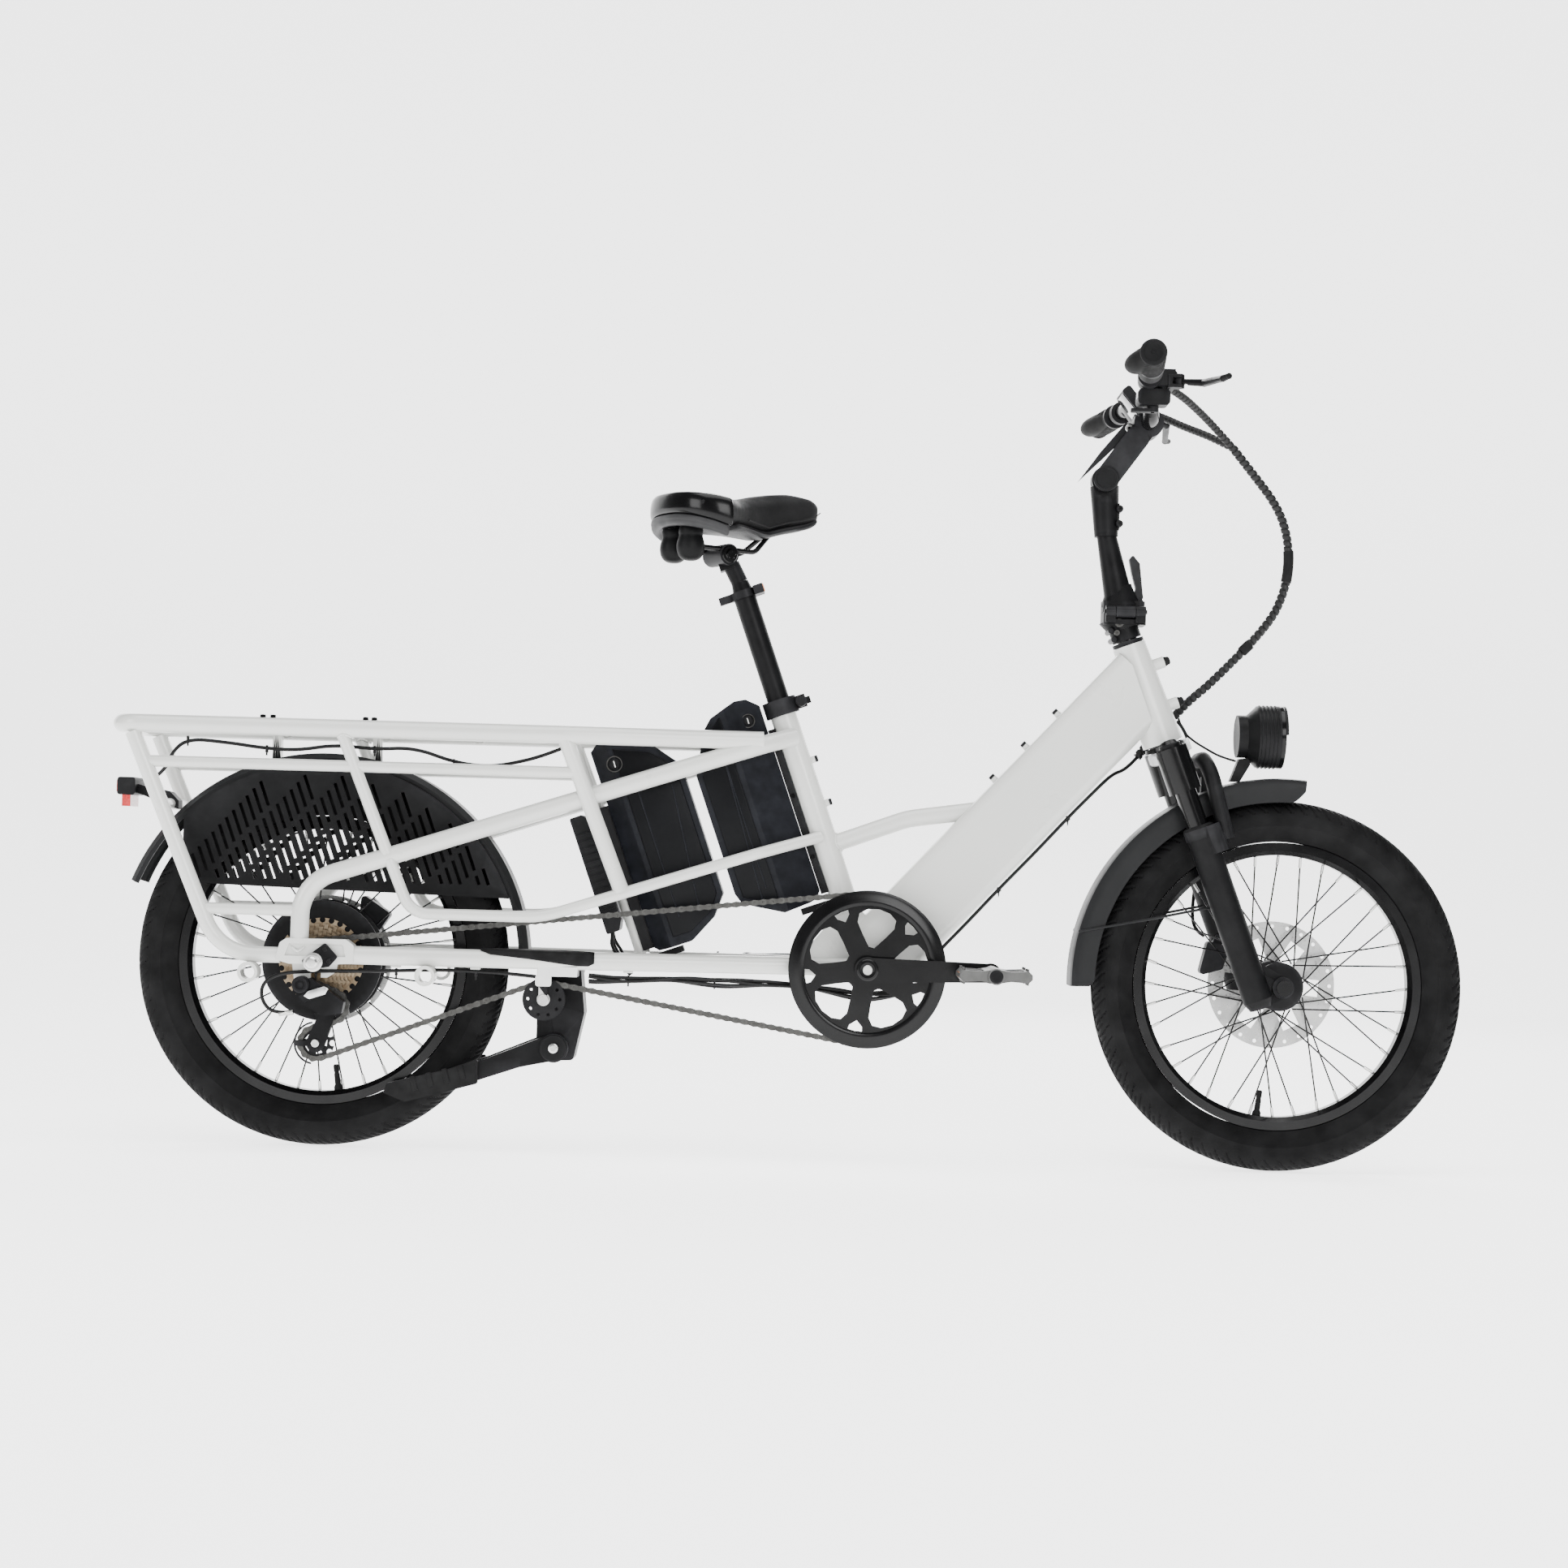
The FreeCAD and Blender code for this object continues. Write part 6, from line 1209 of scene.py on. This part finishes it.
def build_reflectors():
    for word, side in SIDES:
        tip = BRACKET + Vector((-side * 0.170, 0, 0))
        for end, sign in (("front", 1), ("rear", -1)):
            reflector(f"pedal_{word}_{end}_reflector", tip + Vector((sign * 0.0466, side * 0.146, 0)),
                WORLD_AXES, (0.0022, 0.0230, 0.0040), "amber", f"pedal_{word}")
        turned(f"pedal_{word}_cap", tip + Y_AXIS * side * 0.1995, Y_AXIS * side,
            [(9.2, -2), (9.2, 1), (8, 2), (3, 2.2), (0, 1.8)], "black", f"pedal_{word}")
    reflector("fork_reflector", on_steer(158, 27, -30), (STEER_FRONT, Y_AXIS, STEER_UP),
        (0.0040, 0.0140, 0.0085), "white_reflector", "steerer")
    reflector("seatpost_reflector", on_seat(554, 27.5), (SEAT_FRONT, Y_AXIS, SEAT_UP),
        (0.0028, 0.0200, 0.0056), "amber", "seat_group")
    lens = Piece("tail_light_lens")
    lens.box(at(-949.0, 0, 496.5), WORLD_AXES, (0.0022, 0.0270, 0.0085), 0.0012, 3)
    lens.done("red", "frame", 40)


build_reflectors()


# ---- lamp and cockpit

def build_headlight_details():
    centre = at(0, 0, 610)
    fins = Piece("headlight_fins")
    for x in (652, 657.5, 663, 668.5, 674):
        fins.lathe(centre + X_AXIS * x / 1000, X_AXIS, [(42.5, -1.1), (44.6, -0.9), (45, 0),
            (44.6, 0.9), (42.5, 1.1)], 72, closed=True)
    fins.done("plastic", "fork_sliders", 40)
    turned("headlight_bezel", centre + X_AXIS * 0.683, X_AXIS,
        [(37.5, -4), (44.2, -4), (44.6, 0.8), (43.8, 2), (39.2, 2.2), (38, 0.2), (37.2, -2)],
        "gloss_black", "fork_sliders", 72)
    turned("headlight_mirror", centre + X_AXIS * 0.6625, X_AXIS,
        [(0, 0.4), (6, 0.5), (14, 3), (21.5, 7), (29, 12), (35.2, 17.6)], "mirror", "fork_sliders", 72)
    turned("headlight_led", centre + X_AXIS * 0.6628, X_AXIS, [(6, 0), (6, 3.4), (4.6, 4.8), (0, 5.6)],
        "white_cap", "fork_sliders", 32)


def build_cockpit_details():
    pivot = at(425.8, 0, 966.5)
    for word, side in SIDES:
        turned(f"stem_cap_{word}", pivot + Y_AXIS * side * 0.0228, Y_AXIS * side,
            [(17.6, -0.2), (17.8, 2), (16.8, 3.2), (14, 3.4), (13.2, 2.8), (0, 2.8)], "plastic",
            "cockpit", 56)
        turned(f"stem_pin_{word}", at(457.5, side * 12.4, 1040.2), Y_AXIS * side,
            [(5.8, -1), (5.8, 1.2), (4.8, 2), (2.6, 2, 6), (2.6, 0.6, 6), (0, 0.6)], "steel", "cockpit",
            32)
    bolts = Piece("handlepost_bolts")
    for z in (905, 926):
        bolts.bolt(at(447, -13.6, z), -Y_AXIS, 4.6, 3.6)
    bolts.done("black", "handlepost", 30)
    clamp = Piece("hinge_bolts")
    clamp.bolt(at(449, -23.5, 764), -Y_AXIS, 6.2, 4.2)
    clamp.bolt(at(446, -23.5, 750), -Y_AXIS, 4, 3.2)
    clamp.done("chain", "steerer", 30)
    screen = Piece("display_screen")
    up = Vector((-0.643, 0, 0.766))
    out = Vector((-0.766, 0, -0.643))
    face = at(462, 0, 1077) - out * -0.0074
    screen.box(face, (up, Y_AXIS, out), (0.0180, 0.0330, 0.0008), 0.0006, 2)
    screen.done("screen", "cockpit", 40)
    keys = Piece("display_keys")
    for y in (-0.024, -0.008, 0.008, 0.024):
        keys.box(face - up * 0.0196 + Vector((0, y, 0)), (up, Y_AXIS, out), (0.0016, 0.0054, 0.0014),
            0.0006, 2)
    keys.done("grey_trim", "cockpit", 40)
    for word, side in SIDES:
        caps = Piece(f"brake_cap_{word}")
        caps.lathe(at(506, side * 172, 1091.0), Z_AXIS, [(6.2, -1), (6.2, 0.8), (5, 1.6), (2.6, 1.6, 6),
            (2.6, 0.2, 6), (0, 0.2)], 32)
        for y in (124, 146):
            for x in (486.5, 499.5):
                caps.bolt(at(x, side * y, 1098.0), Z_AXIS, 2.1, 1)
        caps.done("chain", "cockpit", 30)
        lid = Piece(f"reservoir_lid_{word}")
        lid.box(at(493, side * 140, 1098.2), WORLD_AXES, (0.0100, 0.0190, 0.0008), 0.0006, 2)
        lid.done("plastic", "cockpit", 40)
        turned(f"hose_joint_{word}", at(493, side * 112, 1086), Y_AXIS * -side,
            [(6.8, -8), (6.8, 0), (6, 2), (6, 6, 6), (5.2, 8), (5.2, 8.6), (0, 8.6)], "rubber",
            "cockpit", 28, 30)
    gear = Piece("shifter_window")
    gear.box(at(455.5, -144, 1066), WORLD_AXES, (0.0036, 0.0110, 0.0050), 0.0012, 2)
    gear.done("screen", "cockpit", 40)
    sleeve = Piece("harness_sleeve")
    line = followed(HARNESS_LOOP, 0.004)
    part = [point for point in line if 0.826 < point.z < 0.876]
    sleeve.tube(part, 0.0074, 20)
    obj = sleeve.done("rubber", None, 60, slot="cable_jacket")
    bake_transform(obj)
    collar = Piece("harness_collar")
    collar.tube([at(625.5, 0, 729.4), at(629, 0, 733), at(633, 0, 737), at(637, 0, 741)], 0.0076, 20)
    collar.done("rubber", "steerer", 60)


build_headlight_details()
build_cockpit_details()


# ---- ties, clips, fork seals

def tie(piece, place, heading, radius, tail):
    """Cable tie: a flat band round a cable, with its head and cut tail."""
    heading = heading.normalized()
    side, up = frame_about(heading)
    rim = radius * 1000
    piece.lathe(place - heading * 0.0014, heading, [(rim, 0), (rim + 0.9, 0), (rim + 0.9, 2.8),
        (rim, 2.8)], 20, closed=True)
    down = -Z_AXIS if abs(heading.z) < 0.8 else side
    piece.box(place + down * (radius + 0.0016), (heading, heading.cross(down).normalized(), down),
        (0.0020, 0.0022, 0.0018), 0.0005, 1)
    piece.box(place + down * (radius + 0.0016 + tail / 2), (heading, heading.cross(down).normalized(),
        down), (0.0012, 0.0006, tail / 2), 0.0002, 1)


def build_leads():
    """Loose leads that sag beside the underside cable, and the controller's own leads."""
    piece = Piece("loose_leads")
    line = followed(CENTRE_CABLE, 0.006)
    for turn, drop in ((0.6, 0.004), (2.4, 0.007), (4.2, 0.003), (5.4, 0.006)):
        route = []
        for index, point in enumerate(line):
            sag = 0.5 - 0.5 * math.cos(2 * math.pi * index / 33 + turn * 0.6)
            route.append(point + Vector((0, 0.0046 * math.cos(turn),
                0.0036 * math.sin(turn) - drop * sag)))
        piece.tube(route, 0.0021, 10)
    for y in (-22, -12, 4):
        ends = [at(-251, y, 314), at(-250, y - 2, 304), at(-246 + y / 4, y - 6, 294),
            at(-238 + y / 3, y - 14, 284), at(-232 + y / 3, y - 24, 270), at(-222, y - 22, 252)]
        piece.tube(followed(ends, 0.004), 0.0023, 10)
    piece.done("jacket", "frame", 60)


def build_fender_sides():
    """Side walls and rounded crown of the front fender."""
    piece = Piece("front_fender_shell")
    section = [(0, 292.0), (18, 291.8), (29, 291.4), (34, 290.0), (36.4, 285), (37, 276), (37, 258),
        (35.8, 257.4), (35.4, 276), (34.8, 284), (33.2, 287.2), (0, 287.6)]
    around = section + [(-y, radius) for y, radius in section[-2:0:-1]]
    rings = []
    for step in range(101):
        degrees = 83.6 + (181.4 - 83.6) * step / 100
        turn = math.radians(degrees)
        full = min(1, math.sin(math.pi / 2 * min(1, (degrees - 82) / 6)),
            math.sin(math.pi / 2 * min(1, (184 - degrees) / 5)))
        ray = Vector((math.cos(turn), 0, math.sin(turn)))
        ring = []
        for y, radius in around:
            reach = max(radius, 287 - (287 - radius) * full)
            ring.append(piece.vert(FRONT + ray * reach / 1000 + Y_AXIS * y / 1000))
        rings.append(ring)
    piece.skin(rings)
    for ring in (rings[0], rings[-1]):
        piece.bm.faces.new(ring)
    piece.done("fender", "fork_sliders", 40)


def build_ties():
    piece = Piece("cable_ties")
    for x, y, z in ((-845, -66, 564), (-735, -66, 554), (-585, -66, 557), (-475, -64, 542)):
        tie(piece, at(x, y, z), X_AXIS, 0.0030, 0.006)
    for x, y, z in ((-655, -79.5, 246.6), (-545, -72.4, 250), (-435, -68.2, 251.6), (-225, -44, 247.4),
            (-105, -32.3, 246.6), (15, -20, 243.6)):
        tie(piece, at(x, y, z), X_AXIS, 0.0030, 0.007)
    for along in (75, 210, 350):
        tie(piece, on_down(along, -57.2), DOWN_UP, 0.0032, 0.006)
    piece.done("jacket", "frame", 40)
    clips = Piece("cable_clips")
    for x in (-545, -435, -225):
        y = -0.088 if x < -420 else -0.088 + (x + 420) * 0.1333 / 1000
        clips.box(at(x, 0, 0) + Vector((0, y + 0.010, 0.2565)), WORLD_AXES, (0.0070, 0.0040, 0.0016),
            0.0010, 2)
    clips.done("frame", "frame", 40)


def build_fork_details():
    for word, side in SIDES:
        y = 62 * side
        turned(f"fork_seal_{word}", on_steer(274.4, 0, y), STEER_UP,
            [(18.2, -1), (21.6, -1), (21.6, 2), (20, 3.4), (17.6, 4.8), (17.4, 4)], "rubber",
            "fork_sliders", 56)
        turned(f"fork_knob_{word}", on_steer(155, 0, y), STEER_UP,
            [(15, -1), (15, 4), (14, 5.4), (6, 5.6), (0, 5)], "black", "steerer", 48)
    screws = Piece("fender_screws")
    for along, y in ((292, 30), (292, -30)):
        screws.bolt(on_steer(along - 80, 54.5, y * 0.5), STEER_FRONT, 3.4, 1.6)
    screws.done("steel", "fork_sliders", 30)


build_leads()
build_fender_sides()
build_ties()
build_fork_details()


# ---- floor, light and end

def build_stage():
    """Pale seamless floor that curves up into a backdrop far behind."""
    rows = [(-9, 0), (-3, 0), (3, 0), (5.2, 0), (6, 0), (7.6, 0.25), (8.7, 1.1), (9.2, 2.4), (9.4, 9)]
    bm = bmesh.new()
    lines = [[bm.verts.new((x, y, z - 0.0006)) for x in (-14, 14)] for y, z in rows]
    for low, high in zip(lines, lines[1:]):
        bm.faces.new((low[0], low[1], high[1], high[0]))
    mesh = bpy.data.meshes.new("floor")
    bm.to_mesh(mesh)
    bm.free()
    mesh.shade_smooth()
    floor = bpy.data.objects.new("floor", mesh)
    bpy.context.scene.collection.objects.link(floor)
    finish = Finish("floor", (0.93, 0.93, 0.93), 0.8, Emission_Color=(1, 1, 1, 1),
        Emission_Strength=2.4).tint(1.5, 0.008).grain(80, 0.0002, 0.2)
    floor.data.materials.append(finish.material)
    smooth = floor.modifiers.new("subdivision", "SUBSURF")
    smooth.levels = smooth.render_levels = 2


def softbox(name, place, target, size, power):
    data = bpy.data.lights.new(name, "AREA")
    data.shape = "RECTANGLE"
    data.size, data.size_y = size
    data.energy = power
    lamp = bpy.data.objects.new(name, data)
    lamp.location = place
    lamp.rotation_euler = (Vector(target) - Vector(place)).to_track_quat("-Z", "Y").to_euler()
    bpy.context.scene.collection.objects.link(lamp)


def build_lights():
    softbox("top_light", (0.2, -0.6, 3.6), (0, 0, 0.4), (4.0, 2.6), 170)
    softbox("front_light", (1.6, -4.6, 2.2), (0, 0, 0.5), (2.6, 2.0), 150)
    softbox("side_light", (-3.4, -2.6, 1.8), (0, 0, 0.5), (1.8, 1.8), 80)
    softbox("rim_light", (0.8, 3.6, 2.4), (0, 0, 0.6), (3.2, 1.4), 70)
    world = bpy.data.worlds.new("studio")
    world.use_nodes = True
    backdrop = world.node_tree.nodes["Background"]
    backdrop.inputs["Color"].default_value = (0.95, 0.97, 1.0, 1)
    backdrop.inputs["Strength"].default_value = 0.25
    bpy.context.scene.world = world


build_stage()
build_lights()
